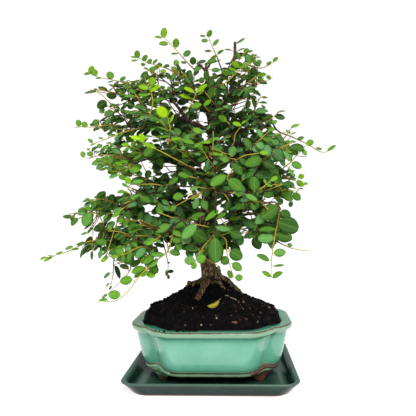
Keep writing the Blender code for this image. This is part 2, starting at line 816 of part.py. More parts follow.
def plan_side_twig(draw, main, node, sign, taken):
    """A side twig from one node, on the given side, or nothing if no try stays clear of the other wood."""
    root, ahead = along(main["points"], node)
    above = square_to(main["hint"], ahead)
    outer = turned(above.cross(ahead) * sign, ahead, sign * SIDE_FACE_TILT)
    for _ in range(SIDE_TWIG_TRIES):
        length = draw.uniform(*SIDE_TWIG_LENGTH) * MM
        start = turned(ahead, above, sign * draw.uniform(*SIDE_TWIG_ANGLE))
        end = root + (start + UP * draw.uniform(*SIDE_TWIG_RISE)) * length
        arch = above * SIDE_TWIG_ARCH * length
        path = [root.lerp(end, t / 8) + arch * math.sin(math.pi * t / 8) for t in range(9)]
        leans = (path[1] - root).normalized().dot(outer) > SIDE_TWIG_LEAN
        if not leans or too_near(path[2:], taken, WOOD_SPACING * MM):
            continue
        taken.extend(path[2:])
        twig = plan_twig(path, main["hint"], NODE_SPACING)
        twig["node"] = node
        twig["sign"] = sign
        return twig
    return None


def facing(point):
    """Where leaves around a point turn their upper sides: up, outward, and to the front or the back."""
    outward = Vector((point.x, point.y, 0)).normalized()
    across = -FACING_ACROSS if point.y < FRONT_LIMIT * MM else FACING_ACROSS
    return (UP * FACING_UP + outward * FACING_OUT + Vector((0, across, 0))).normalized()


def plan_shoot(k, plan, taken):
    """A shoot's main twig and its side twigs, from where its limb's wood ends."""
    draw = random.Random(SHOOT_SEED + k)
    points = curve_points(plan["controls"], plan["share"], 1.0, 30)
    _, ahead = along(points, 0.0)
    points[0] = points[0] + ahead * GAP
    hint = facing(points[-1]) + UP * 0.3
    hint += Vector([draw.uniform(-HINT_STRAY, HINT_STRAY) for _ in range(3)])
    main = plan_twig(points, hint, NODE_SPACING)
    twigs = [main]
    sign = draw.choice((-1, 1))
    for share in SIDE_TWIG_SHARES:
        if len(main["nodes"]) < 3:
            continue
        node = main["nodes"][int(share * len(main["nodes"]))]
        twig = plan_side_twig(draw, main, node, sign, taken)
        if twig:
            twigs.append(twig)
        sign = -sign
    return twigs


class Leafing:
    """Grows the leaves of all shoots, each where nothing else is."""

    def __init__(self, solids):
        self.whole = [tree_of(thing) for thing in solids]
        self.placed = []

    def block(self, tree, centre, radius, wood):
        self.placed.append((centre, radius, tree, wood))

    def is_clear(self, tree, centre, radius, own_wood):
        """Whether nothing else is in the way, where own_wood is the twig that the blade grows from."""
        for other_centre, other_radius, other, wood in self.placed:
            if wood is own_wood:
                continue
            if (centre - other_centre).length > radius + other_radius:
                continue
            if tree.overlap(other):
                return False
        return not any(tree.overlap(whole) for whole in self.whole)


def twig_tree(twig):
    """The space a twig needs, in pieces that are each short enough to be sorted by distance."""
    pieces = []
    points = twig["points"]
    step = 4
    for i in range(0, len(points) - 1, step):
        part = points[i : i + step + 1]
        rings = tube(part, [1.25 * TWIG_RADIUS * MM] * len(part), 4)
        skin, faces = skin_of_rings(rings)
        centre = sum(part, Vector()) / len(part)
        radius = max((p - centre).length for p in part) + 2 * MM
        pieces.append((BVHTree.FromPolygons(skin, faces), centre, radius))
    return pieces


def own_wood_is_clear(corners, points):
    """Whether a blade's corners stay off the twig it grows from."""
    room = TWIG_RADIUS * MM + LEAF_ROOM * MM
    steps = max(2, int(length_of(points) / (OWN_STEP * MM)))
    wood = [along(points, length_of(points) * i / steps)[0] for i in range(steps + 1)]
    return not too_near(corners, wood, room)


def draw_blade(draw, root, sign, ahead, above):
    """A leaf's direction, upper side and size, on one side of its twig, or at its tip if sign is 0."""
    length = draw.uniform(*LEAF_LENGTH) * MM
    width = length * LEAF_SHAPE * draw.uniform(*LEAF_WIDTHS)
    turn = sign * draw.uniform(*LEAF_ANGLE) if sign else draw.uniform(-TIP_LEAF_TURN, TIP_LEAF_TURN)
    stray = Vector([draw.uniform(-LEAF_TURN, LEAF_TURN) for _ in range(3)])
    wanted = (above * TWIG_FACING + facing(root) + stray).normalized()
    out = turned(ahead, above, turn)
    out = (out - wanted * FACING_HELD * out.dot(wanted)).normalized()
    return out, square_to(wanted, out), length, width, LEAF_DROOP * draw.uniform(*LEAF_DROOPS)


def try_blade(growth, leafing, draw, base, root, sign, ahead, above, points):
    """Grows a blade from the base ring if a draw is clear of everything, and says whether it did."""
    for _ in range(LEAF_TRIES):
        out, face, length, width, droop = draw_blade(draw, root, sign, ahead, above)
        rings, tip = blade_rings(root, out, face, length, width, LEAF_THICK * MM, droop)
        sides = hull_sides([growth.points[i] for i in base], rings[0])
        if not sides or (sign and not own_wood_is_clear(rings[0] + rings[1] + tip, points)):
            continue
        tree = blade_tree(root, out, face, length, width, droop)
        centre = root + out * 0.5 * length
        if leafing.is_clear(tree, centre, LEAF_REACH * length, points):
            leafing.block(tree, centre, LEAF_REACH * length, None)
            grow_blade(growth, base, sides, rings, tip)
            return True
    return False


def grow_blade(growth, base, sides, rings, tip):
    first = growth.ring(rings[0])
    second = growth.ring(rings[1])
    end = growth.ring(tip)
    growth.skin(base + first, sides, Growth.BLADE)
    growth.bridge(first, second, [(i, i) for i in range(4)], Growth.BLADE)
    growth.bridge(second, end, [(0, 0), (1, 0), (2, 1), (3, 1)], Growth.BLADE)


SIDE_FACES = {1: (2, 0), -1: (0, 1)}


def open_face(low, high, sign):
    """The corners of a node's face on one side, going round it as seen from the twig's inside."""
    a, b = SIDE_FACES[sign]
    return [low[a], low[b], high[b], high[a]]


def grow_twig(growth, leafing, draw, twigs, index, base):
    """Grows one twig from a base ring, with its leaves, its side twigs and the leaf at its tip."""
    twig = twigs[index]
    points = twig["points"]
    total = twig["length"]
    stations = []
    for node in twig["nodes"]:
        stations.append((node - 0.5 * NODE_LENGTH * MM, False))
        stations.append((node + 0.5 * NODE_LENGTH * MM, True))
    stations.append((total - 1.0 * MM, False))
    below = base
    for distance, is_node in stations:
        centre, ahead = along(points, distance)
        above = square_to(twig["hint"], ahead)
        radius = (TWIG_RADIUS + (TWIG_TIP_RADIUS - TWIG_RADIUS) * distance / total) * MM
        corners = twig_ring(centre, ahead, above, radius)
        if not is_node:
            sides = hull_sides([growth.points[i] for i in below], corners)
            ring = growth.ring(corners)
            growth.skin(below + ring, sides, Growth.TWIG)
        else:
            ring = growth.ring(corners)
            growth.face((below[1], below[2], ring[2], ring[1]), Growth.TWIG)
            root, _ = along(points, distance - 0.5 * NODE_LENGTH * MM)
            for sign in (1, -1):
                quad = open_face(below, ring, sign)
                branch = side_twig_at(twigs, index, distance, sign)
                if branch:
                    grow_twig(growth, leafing, draw, twigs, branch, quad)
                    continue
                foot = root + above.cross(ahead) * sign * 0.6 * radius
                if not try_blade(growth, leafing, draw, quad, foot, sign, ahead, above, points):
                    growth.face(quad, Growth.TWIG)
        below = ring
    centre, ahead = along(points, total)
    if not try_blade(growth, leafing, draw, below, centre, 0, ahead, above, points):
        growth.face(below, Growth.TWIG)


def side_twig_at(twigs, index, distance, sign):
    """The number of the side twig that leaves a main twig's node on one side, or 0."""
    for j, other in enumerate(twigs):
        if index == 0 and other.get("sign") == sign and abs(other["node"] - distance) < NODE_LENGTH * MM:
            return j
    return 0


def build_sprays(materials, plans, solids):
    taken = [p for plan in plans for p in curve_points(plan["controls"], steps=36)]
    shoots = [plan_shoot(k, plan, taken) for k, plan in enumerate(plans)]
    leafing = Leafing(solids)
    for k, twigs in enumerate(shoots):
        for twig in twigs:
            for tree, centre, radius in twig_tree(twig):
                leafing.block(tree, centre, radius, twig["points"])
    for k, twigs in enumerate(shoots):
        growth = grow_spray(leafing, twigs, LEAF_SEED + k)
        name = f"spray_{k + 1:02d}"
        add_object(name, growth.points, growth.faces, materials, growth.finishes)


def crosses_itself(growth):
    corners = [set(face) for face in growth.faces]
    tree = BVHTree.FromPolygons(growth.points, growth.faces)
    return any(not corners[i] & corners[j] for i, j in tree.overlap(tree))


def grow_spray(leafing, twigs, seed):
    """One shoot with all its leaves, drawn again while a leaf crosses a part of its own shoot."""
    for attempt in range(SPRAY_TRIES):
        growth = Growth()
        placed = len(leafing.placed)
        draw = random.Random(seed + 100 * attempt)
        start, ahead = along(twigs[0]["points"], 0.0)
        above = square_to(twigs[0]["hint"], ahead)
        base = growth.ring(twig_ring(start, ahead, above, TWIG_RADIUS * MM))
        growth.face(tuple(reversed(base)), Growth.TWIG)
        grow_twig(growth, leafing, draw, twigs, 0, base)
        if not crosses_itself(growth):
            break
        del leafing.placed[placed:]
    return growth


def build_fallen_leaf(material, soil_tree):
    """A yellowed leaf that lies on the mound, just clear of it."""
    place = Vector((FALLEN_LEAF_AT[0] * MM, FALLEN_LEAF_AT[1] * MM, 0.2))
    hit, normal, _, _ = soil_tree.ray_cast(place, -UP)
    ahead = square_to(direction(FALLEN_LEAF_BEARING, 0), normal)
    root = hit + normal * (0.5 * LEAF_THICK * MM + 1.2 * GAP) - ahead * 6 * MM
    growth = Growth()
    stalk = blade_ring(root, ahead, normal, 0.8 * MM, 0.5 * LEAF_THICK * MM)
    base = growth.ring(stalk)
    growth.face(tuple(reversed(base)), Growth.TWIG)
    length, width = FALLEN_LEAF_SIZE
    rings, tip = blade_rings(root, ahead, normal, length * MM, width * MM, LEAF_THICK * MM, 0.0)
    grow_blade(growth, base, hull_sides(stalk, rings[0]), rings, tip)
    return add_object("fallen_leaf", growth.points, growth.faces, [material])


def build_bonsai():
    clear_scene()
    celadon = make_material("celadon_glaze", (0.22, 0.58, 0.43), 0.2)
    dark_glaze = make_material("dark_glaze", (0.012, 0.032, 0.026), 0.22)
    peat = make_material("peat", (0.010, 0.007, 0.006), 0.95)
    bark = make_material("bark", (0.075, 0.045, 0.03), 0.85)
    young_bark = make_material("young_bark", (0.42, 0.30, 0.07), 0.6)
    leaf = make_material("leaf", (0.05, 0.19, 0.035), 0.42)
    dead_leaf = make_material("yellow_leaf", (0.66, 0.55, 0.05), 0.5)
    net = make_material("drain_net", (0.02, 0.02, 0.02), 0.6)

    saucer = build_saucer(dark_glaze)
    pot = build_pot(celadon)
    build_screen("drain_screen_left", -1, net)
    build_screen("drain_screen_right", 1, net)
    soil = build_soil(peat)
    soil_tree = tree_of(soil)
    plans = plan_limbs()
    trunk = build_trunk(bark, plans, soil_tree)
    build_sprays([young_bark, leaf], plans, [pot, soil, trunk])
    build_fallen_leaf(dead_leaf, soil_tree)
    for thing in (saucer, pot, soil, trunk):
        shade_smooth(thing)


build_bonsai()
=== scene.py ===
"""The looks of a wall cotoneaster bonsai in its glazed pot on a saucer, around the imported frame.

Metres, +Z up, in the frame's own coordinates. Tables of sizes are in millimetres, which MM turns
into metres.
"""

import math
import random

import bmesh
import bpy
import numpy as np
from mathutils import Matrix, Quaternion, Vector, geometry, noise
from mathutils.bvhtree import BVHTree


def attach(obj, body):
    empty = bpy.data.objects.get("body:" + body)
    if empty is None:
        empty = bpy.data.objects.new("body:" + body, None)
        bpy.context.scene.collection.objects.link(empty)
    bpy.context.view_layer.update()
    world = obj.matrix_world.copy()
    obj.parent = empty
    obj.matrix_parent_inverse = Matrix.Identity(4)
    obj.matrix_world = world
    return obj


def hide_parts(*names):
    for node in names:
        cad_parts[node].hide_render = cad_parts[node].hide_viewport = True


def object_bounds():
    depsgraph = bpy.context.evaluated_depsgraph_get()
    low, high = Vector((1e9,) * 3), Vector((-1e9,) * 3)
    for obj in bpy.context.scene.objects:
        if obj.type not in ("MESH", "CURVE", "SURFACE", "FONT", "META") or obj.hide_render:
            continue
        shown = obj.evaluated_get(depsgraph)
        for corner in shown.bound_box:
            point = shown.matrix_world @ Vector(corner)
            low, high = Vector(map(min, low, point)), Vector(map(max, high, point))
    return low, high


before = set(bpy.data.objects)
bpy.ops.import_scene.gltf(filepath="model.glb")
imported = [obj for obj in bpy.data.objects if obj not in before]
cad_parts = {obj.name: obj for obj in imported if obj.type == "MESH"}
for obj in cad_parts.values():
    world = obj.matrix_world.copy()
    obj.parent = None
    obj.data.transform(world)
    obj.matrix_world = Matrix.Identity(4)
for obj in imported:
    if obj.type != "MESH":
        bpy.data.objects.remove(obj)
CAD_LOW, CAD_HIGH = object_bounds()

MM = 0.001
UP = Vector((0, 0, 1))

# Camera, found from the photograph: its place, its turns to the left, up and round in degrees, and in
# pixels its focal length, the frame's side and how far the frame's middle lies off its axis
CAMERA_AT = (29.52, -534.29, 202.86)
EYE = Vector(CAMERA_AT) * MM
CAMERA_TURN = (2.0, 1.19, 0.51)
FOCAL_PIXELS = 407.2
FRAME_PIXELS = 416
CENTRE_SHIFT = -11.9
SENSOR_WIDTH = 36.0


def camera_axes():
    yaw, pitch, roll = (math.radians(a) for a in CAMERA_TURN)
    ahead = Vector((-math.sin(yaw) * math.cos(pitch), math.cos(yaw) * math.cos(pitch), math.sin(pitch)))
    level = Vector((math.cos(yaw), math.sin(yaw), 0))
    over = level.cross(ahead)
    right = level * math.cos(roll) - over * math.sin(roll)
    return right, right.cross(ahead), ahead


def seen_at(px, py, depth):
    """The place that the camera sees at a pixel, on the upright plane at a depth."""
    right, rise, ahead = camera_axes()
    across = (px - FRAME_PIXELS / 2 + CENTRE_SHIFT) / FOCAL_PIXELS
    down = (py - FRAME_PIXELS / 2) / FOCAL_PIXELS
    ray = ahead + right * across - rise * down
    return EYE + ray * ((depth - EYE.y) / ray.y)


def linked_object(name, data):
    thing = bpy.data.objects.new(name, data)
    bpy.context.scene.collection.objects.link(thing)
    return thing


def build_camera():
    right, rise, ahead = camera_axes()
    data = bpy.data.cameras.new("camera")
    data.sensor_width = SENSOR_WIDTH
    data.lens = FOCAL_PIXELS * data.sensor_width / FRAME_PIXELS
    data.shift_x = CENTRE_SHIFT / FRAME_PIXELS
    data.clip_start = 0.01
    data.clip_end = 50.0
    camera = linked_object("camera", data)
    rotation = Matrix((right, rise, -ahead)).transposed().to_4x4()
    camera.matrix_world = Matrix.Translation(EYE) @ rotation
    bpy.context.scene.camera = camera


# The tree's skeleton, as in the frame: the trunk's centre, height and radius
TRUNK = (
    (0, 0, 78.4, 13),
    (0, 0, 106, 15.4),
    (0, 0, 115.5, 16.2),
    (-2, 0, 121.5, 13.2),
    (-4, -0.5, 130, 10.6),
    (-5.5, -1, 140, 9.4),
    (-8.5, -2, 162, 8.8),
    (-9, -2, 188, 8.4),
    (-6, 1, 222, 7.8),
    (-1, 3, 258, 7.2),
    (2, 1, 300, 6.6),
    (2, -1, 340, 5),
    (-2, 0, 376, 3.1),
    (-6, 1, 404, 1.7),
)
# Limbs: the parent limb or the trunk, the place on it as a height or as a share of the parent's wood,
# the tip's bearing, its reach and its height, the pitch there, and the share of the limb that is old wood
TRUNK_LIMB = None
LIMBS = (
    (TRUNK_LIMB, 160, 184, 203, 150, -16, 0.42),
    (0, 0.50, 152, 166, 170, -12, 0.36),
    (0, 0.42, 221, 153, 116, -44, 0.36),
    (TRUNK_LIMB, 172, 266, 110, 152, -58, 0.40),
    (3, 0.50, 287, 108, 134, -72, 0.30),
    (3, 0.60, 244, 132, 176, -18, 0.32),
    (TRUNK_LIMB, 190, 316, 116, 138, -84, 0.36),
    (6, 0.70, 338, 128, 182, -22, 0.32),
    (TRUNK_LIMB, 178, 356, 124, 160, -26, 0.40),
    (8, 0.60, 20, 122, 200, -4, 0.36),
    (TRUNK_LIMB, 176, 58, 124, 170, -22, 0.42),
    (TRUNK_LIMB, 168, 104, 126, 164, -16, 0.42),
    (11, 0.60, 130, 142, 196, -6, 0.36),
    (TRUNK_LIMB, 198, 192, 186, 207, -8, 0.42),
    (13, 0.50, 166, 168, 226, -6, 0.36),
    (TRUNK_LIMB, 204, 230, 144, 214, -14, 0.42),
    (TRUNK_LIMB, 211, 276, 130, 224, -20, 0.40),
    (16, 0.60, 300, 136, 204, -34, 0.34),
    (TRUNK_LIMB, 220, 334, 136, 232, -8, 0.42),
    (18, 0.60, 355, 128, 256, 4, 0.36),
    (TRUNK_LIMB, 225, 44, 122, 238, -10, 0.42),
    (20, 0.60, 74, 116, 216, -14, 0.36),
    (TRUNK_LIMB, 232, 108, 116, 256, -4, 0.42),
    (22, 0.60, 146, 138, 262, -4, 0.36),
    (TRUNK_LIMB, 250, 185, 174, 286, 2, 0.42),
    (24, 0.46, 214, 150, 258, -12, 0.36),
    (TRUNK_LIMB, 259, 248, 116, 286, 4, 0.40),
    (26, 0.60, 274, 122, 262, -10, 0.34),
    (TRUNK_LIMB, 264, 349, 162, 293, 8, 0.42),
    (28, 0.46, 318, 126, 276, -6, 0.36),
    (TRUNK_LIMB, 262, 36, 118, 290, 4, 0.42),
    (TRUNK_LIMB, 271, 92, 108, 300, 4, 0.40),
    (31, 0.60, 130, 124, 306, 6, 0.36),
    (TRUNK_LIMB, 288, 180, 182, 325, 2, 0.40),
    (33, 0.40, 222, 120, 324, 6, 0.36),
    (TRUNK_LIMB, 296, 284, 92, 326, 6, 0.40),
    (TRUNK_LIMB, 293, 336, 114, 328, 14, 0.40),
    (36, 0.50, 12, 104, 346, 18, 0.36),
    (TRUNK_LIMB, 303, 60, 92, 344, 12, 0.40),
    (TRUNK_LIMB, 308, 122, 98, 350, 14, 0.40),
    (TRUNK_LIMB, 315, 186, 168, 370, 6, 0.38),
    (40, 0.44, 174, 166, 398, 12, 0.36),
    (TRUNK_LIMB, 322, 248, 76, 374, 26, 0.36),
    (TRUNK_LIMB, 327, 322, 80, 374, 22, 0.36),
    (TRUNK_LIMB, 330, 12, 78, 396, 34, 0.34),
    (TRUNK_LIMB, 330, 100, 70, 394, 38, 0.34),
    (TRUNK_LIMB, 342, 170, 108, 416, 22, 0.30),
    (TRUNK_LIMB, 384, 350, 88, 411, 30, 0.30),
    (TRUNK_LIMB, 393, 168, 58, 450, 56, 0.24),
    (TRUNK_LIMB, 400, 60, 8, 444, 74, 0.16),
)
# How limbs and shoots are drawn. These repeat the frame's own rule, so they meet its solids
FIRST_PITCH = (20.0, 52.0)
LAST_PITCH_SPREAD = 9.0
HANDLE = 0.40
LIMB_SEED = 11
LIMB_TRIES = 40
LIMB_BEND = 12.0
LIMB_BEND_GROWTH = 0.12
LIMB_STEPS = 36
COUNTER_BEND = 0.6
CLEAR_OF_TRUNK = 20
CLEAR_OF_LIMB = 9
CURVE_STEPS = 24
WOOD_SPACING = 4.6
GAP = 0.3 * MM
NODE_SPACING = 23.5
HINT_STRAY = 0.25
SIDE_TWIG_SHARES = (0.05, 0.5)
SIDE_TWIG_LENGTH = (26.0, 40.0)
SIDE_TWIG_ANGLE = (40.0, 60.0)
SIDE_TWIG_RISE = (-0.05, 0.55)
SIDE_TWIG_ARCH = 0.07
SIDE_TWIG_TRIES = 12
SIDE_TWIG_LEAN = 0.35
SIDE_FACE_TILT = 30.0
SHOOT_SEED = 200
FRONT_LIMIT = 20.0
# Which way shoots turn their upper sides, as shares of up, out of the crown and to its front or back
FACING = (0.55, 0.45, 0.55)
HINT_RISE = 0.3
FEWEST_NODES = 3
FIRST_NODE = 0.55
LAST_STEM = 4.0

# Foliage. Lengths are in mm, and angles in degrees
FOLIAGE_SEED = 3000
SEEN_SHOOT_SEED = FOLIAGE_SEED + 500
SEEN_LEAF_SEED = FOLIAGE_SEED + 900
LEAF_STEP = (7.4, 11.0)
LEAF_LENGTH = (10.0, 17.0)
TIP_ROOM = 8.0
LEAF_SHAPE = (0.64, 0.88)
LEAF_ANGLE = (48.0, 76.0)
LEAF_THICK = 0.34
# How much larger a seen shoot's leaves are drawn than they were measured
SEEN_LEAF = 1.22
# A leaf's fold, droop, cup and twist, for grown leaves and for those that the photograph shows
LEAF_BEND = ((4, 22), (-4, 26), (-0.05, 0.25), 0.35)
SEEN_BEND = ((3, 16), (0, 10), (-0.05, 0.2), 0.2)
# How a leaf turns its upper side: with its twig, to the light, at random, and how far it then lies flat
LEAF_ABOVE = 0.75
LEAF_LEAN = 0.9
LEAF_STRAY = 0.42
LEAF_LEVEL = 0.65
LEAF_TRIES = 7
LEAF_SHRINK = 0.04
TIP_TURN = 14
STALK_LENGTH = (0.5, 1.3)
STALK_RADII = (0.42, 0.32)
STALK_ENDS = (0.4, 0.5)
# Where leaves stand on a twig: how far off its axis, from where to where, how many are in pairs, and how
# much smaller the second of a pair and the last leaf are
LEAF_ASIDE = 0.7
FIRST_LEAF = (2.0, 6.0)
LAST_LEAF = 3
PAIR_SHARE = 0.35
PAIR_SIZE = 0.94
TIP_SIZE = 1.02
TIP_NEWER = 0.12
TWIG_STEP = 4.5
TWIG_SIDES = 6
TWIG_WOBBLE = 0.22
TWIG_TAPER = 0.30
SEEN_TAPER = 0.06
# Radii of twigs at both ends
MAIN_TWIG = (1.2, 0.62)
SIDE_TWIG = (0.95, 0.5)
FILL_TWIG = (0.85, 0.45)
SMALL_TWIG = (0.7, 0.42)
SEEN_TWIG = (1.05, 0.42)
# Which way leaves look, in the same shares, and how much more those of seen shoots look to the front
LEAN = (0.60, 0.42, 0.62)
SEEN_LEAN = (0, -0.55, 0.1)
# Heights in mm over which leaves grow smaller, and depths over which they grow larger to the front
SMALLER_FROM = 200
SMALLER_OVER = 220
LARGER_FROM = 25
LARGER_OVER = 70
SIZE_LOW = 1.12
SIZE_LOSS = 0.12
SIZE_FRONT = 0.14
# Ages of each kind of twig after its join and at its tip, and a leaf's newness at a twig's foot and how
# much more it is at the tip
MAIN_AGES = (0.05, 0.55)
SIDE_AGES = (0.12, 0.60)
INNER_AGES = (0.0, 0.30)
OUTER_AGES = (0.10, 0.55)
NEWNESS = (0.35, 0.65)
# Share of sprays with new leaves, and how new the leaves of those and of the others are
NEW_SPRAYS = 0.22
NEW_YOUTH = (0.40, 0.65)
OLD_YOUTH = (0.10, 0.36)
SIDE_YOUTH = 0.9
INNER_YOUTH = 0.25
OUTER_YOUTH = 0.8
YOUTH_PLAY = (0.5, 1.2)
# Short twigs along a limb: their first place as a share of its old wood, spacing, length and angle, how
# much shorter they are on old wood and near the limb's end, and their leaves' size
FILL_FIRST = 0.42
FILL_STEP = 9.0
FILL_PLAY = (0.75, 1.25)
FILL_LENGTH = (20.0, 44.0)
FILL_ANGLE = (34.0, 66.0)
FILL_INNER = 0.9
FILL_SHORTER = 0.55
FILL_ROOM = 14
FILL_END = 16
FILL_SIZE = 0.98
# Smaller twigs on those: the least length that bears one, how many do, its place and length on it, and
# its leaves' size
SMALL_FROM = 30
SMALL_SHARE = 0.6
SMALL_PLACE = 0.45
SMALL_LENGTH = 0.55
SMALL_SIZE = 0.92
LEAF_ROWS = (0.0, 0.04, 0.13, 0.28, 0.46, 0.64, 0.80, 0.92, 0.98, 1.0)
LEAF_COLUMNS = (-1.0, -0.52, 0.0, 0.52, 1.0)
BOX_MARGIN = 0.018
# The crown's edge as the photograph shows it, and the larger gaps through it with their radius, in
# pixels. Leaves keep inside the one and out of the others, apart from those of the shoots below
CROWN_EDGE = (
    (201, 57), (214, 57), (226, 55), (232, 54), (239, 49), (249, 48), (256, 54), (262, 63), (260, 72),
    (266, 80), (254, 88), (258, 96), (262, 104), (268, 112), (276, 122), (286, 128), (294, 138),
    (296, 150), (290, 162), (292, 169), (298, 178), (297, 192), (288, 202), (278, 206), (281, 222),
    (281, 236), (272, 243), (262, 241), (252, 243), (244, 244), (240, 252), (222, 254),
    (204, 258), (186, 254), (174, 258), (168, 270), (152, 275), (130, 272), (110, 264), (90, 257),
    (77, 248), (80, 240), (98, 235), (83, 229), (80, 222), (64, 216), (80, 208), (88, 199), (110, 195),
    (128, 190), (120, 180), (103, 170), (95, 162), (100, 154), (82, 151), (106, 144), (112, 136),
    (96, 130), (88, 122), (104, 116), (98, 106), (85, 92), (112, 84), (140, 78), (146, 68), (168, 60),
    (180, 60), (190, 64),
)
CROWN_GAPS = (
    (230, 192, 3.2), (230.5, 201, 3), (223, 221.5, 3.6), (248, 214, 4.6), (244, 231, 3.6),
    (266, 201.5, 4), (97, 228, 5), (113.5, 222, 4.2), (149, 208, 3.6), (133, 190, 4.4),
    (146, 164, 5.4), (148, 174, 5.4), (170, 168, 5.6), (117, 100, 3.4), (177, 108, 3.8), (166, 83, 3.8),
    (199, 123, 4.4), (237, 108, 3.8), (243, 102, 3), (218, 117, 2.6), (190.5, 149, 3),
    (254, 148, 2.6), (257, 248, 5), (190, 66, 4), (204, 68, 2.6), (100, 176, 4),
)

# Shoots that stand out in the photograph. Each has the places where it is seen, in pixels from the
# frame's left and top, then its depth in mm at both ends, its leaves' length in mm, how new they
# are from 0 to 1, and the spacing of the leaves in mm
SHOOTS_SEEN = (
    (((194, 69), (178, 52), (163, 36)), 12, 16, 9, 0.70, 8.5),
    (((179, 78), (171, 70), (152, 64), (137, 57)), -10, -15, 8, 0.60, 6.5),
    (((132, 86), (113, 80), (98, 77), (87, 72)), -15, -20, 8.5, 0.60, 8.5),
    (((129, 125), (110, 103), (98, 92), (90, 90)), 0, -5, 12, 0.18, 8.5),
    (((121, 127), (110, 125), (91, 127), (76, 126)), -10, -15, 8, 0.55, 8),
    (((145, 126), (131, 130), (116, 135), (101, 141), (91, 145)), -60, -50, 7.5, 0.70, 8.5),
    (((131, 158), (115, 156), (101, 155), (90, 158), (82, 157)), -30, -35, 8, 0.50, 7.5),
    (((152, 181), (129, 174), (110, 171)), -70, -75, 8, 0.30, 9),
    (((168, 186), (150, 184), (131, 185)), -92, -95, 11, 0.60, 12),
    (((168, 148), (170, 129), (167, 116), (164, 110)), -78, -82, 11.5, 1.00, 9),
    (((149, 118), (153, 102), (150, 88), (151, 84)), -58, -62, 10, 0.90, 8),
    (((180, 114), (190, 106), (196, 93), (195, 87)), -66, -72, 10.5, 0.92, 7),
    (((191, 168), (166, 154), (142, 142), (138, 139)), -98, -100, 13, 0.88, 12),
    (((199, 164), (187, 156), (176, 148)), -96, -96, 10.5, 0.22, 10),
    (((219, 62), (216, 55), (212, 46), (208, 35)), 0, 0, 8.5, 0.60, 8),
    (((217, 88), (231, 78), (241, 68), (247, 62)), -48, -52, 11, 0.80, 7.5),
    (((251, 66), (261, 68), (271, 64), (275, 60)), 0, 0, 7.5, 0.50, 8.5),
    (((239, 87), (251, 84), (269, 80), (273, 78)), -12, -12, 8.5, 0.45, 8.5),
    (((255, 104), (260, 98), (265, 96)), 5, 5, 9, 0.20, 6),
    (((264, 127), (275, 115), (282, 111)), -42, -45, 10.5, 0.40, 8),
    (((278, 131), (292, 137), (307, 144), (321, 152), (328, 151), (333, 147)), -30, 12, 7.5, 0.6, 9),
    (((283, 139), (289, 131), (295, 125)), -40, -40, 8.5, 0.75, 7),
    (((282, 170), (291, 162), (298, 154), (308, 143)), -50, -45, 10, 0.60, 10),
    (((262, 161), (272, 155), (282, 147), (292, 143)), -98, -100, 12, 0.22, 9.5),
    (((212, 161), (213, 145), (213, 131)), -92, -95, 10, 0.50, 11),
    (((216, 172), (209, 160), (203, 151)), -98, -102, 9, 0.35, 10),
    (((229, 163), (243, 156), (259, 153)), -106, -108, 11, 0.45, 9.5),
    (((231, 147), (235, 135), (240, 127), (243, 122)), -72, -78, 10, 0.90, 8),
    (((230, 128), (226, 121), (223, 117)), -76, -78, 11.5, 0.90, 8),
    (((251, 150), (262, 138), (268, 132)), -86, -84, 10.5, 0.35, 9),
    (((101, 236), (87, 242), (71, 250), (57, 255), (42, 259)), -46, -30, 9, 0.75, 9),
    (((108, 235), (100, 217), (91, 213), (79, 218), (72, 217)), -40, -42, 11, 0.35, 9),
    (((130, 210), (115, 203), (101, 199), (87, 200)), -28, -30, 9.5, 0.40, 7.5),
    (((153, 229), (138, 221), (125, 220)), -92, -94, 8.5, 0.35, 6),
    (((139, 241), (127, 234), (115, 231), (108, 231)), -96, -98, 8.5, 0.35, 8),
    (((156, 248), (140, 247), (125, 254), (114, 257)), -104, -106, 10.5, 0.45, 9),
    (
        ((175, 223), (172, 238), (168, 251), (161, 257), (149, 267), (138, 278), (130, 289),
         (122, 297), (112, 302), (99, 300)),
        -104, -112, 12.5, 0.72, 11.5,
    ),
    (((114, 260), (113, 275), (110, 288)), -30, -32, 8.5, 0.20, 7),
    (((167, 258), (168, 268), (168, 277)), 25, 25, 8, 0.15, 6),
    (((183, 221), (173, 218), (158, 212)), -112, -114, 13, 0.40, 9.5),
    (
        ((275, 202), (279, 209), (278, 221), (274, 240), (272, 257), (271, 272), (272, 278)),
        -106, -110, 15, 0.45, 9,
    ),
    (((275, 241), (288, 247), (300, 250), (309, 250)), -92, -90, 6, 0.70, 10),
    (((214, 226), (221, 235), (226, 240), (227, 254), (230, 266), (233, 276)), -114, -118, 11, 0.45, 8),
    (((214, 231), (204, 246), (195, 261)), -120, -122, 12.5, 0.45, 11),
    (((183, 220), (195, 224), (209, 227)), -116, -118, 12, 0.40, 10),
    (((283, 177), (296, 181), (302, 183)), -40, -38, 8.5, 0.70, 6),
    (((271, 191), (282, 190), (298, 191)), -82, -80, 12, 0.35, 8.5),
    (((255, 194), (262, 188), (270, 181)), -112, -114, 5.5, 0.50, 5),
    (((232, 190), (227, 178), (233, 168)), -120, -122, 16.5, 0.35, 8.5),
    (((240, 191), (246, 195), (254, 199)), -118, -120, 12.5, 0.60, 8),
    (((229, 66), (233.5, 56), (234.5, 46)), -1, -1, 8, 0.35, 7),
    (((228, 76), (238, 62), (247, 50)), -14, -18, 9, 0.45, 7),
    (((232, 82), (244, 74), (256, 64)), -30, -34, 9, 0.35, 7),
)
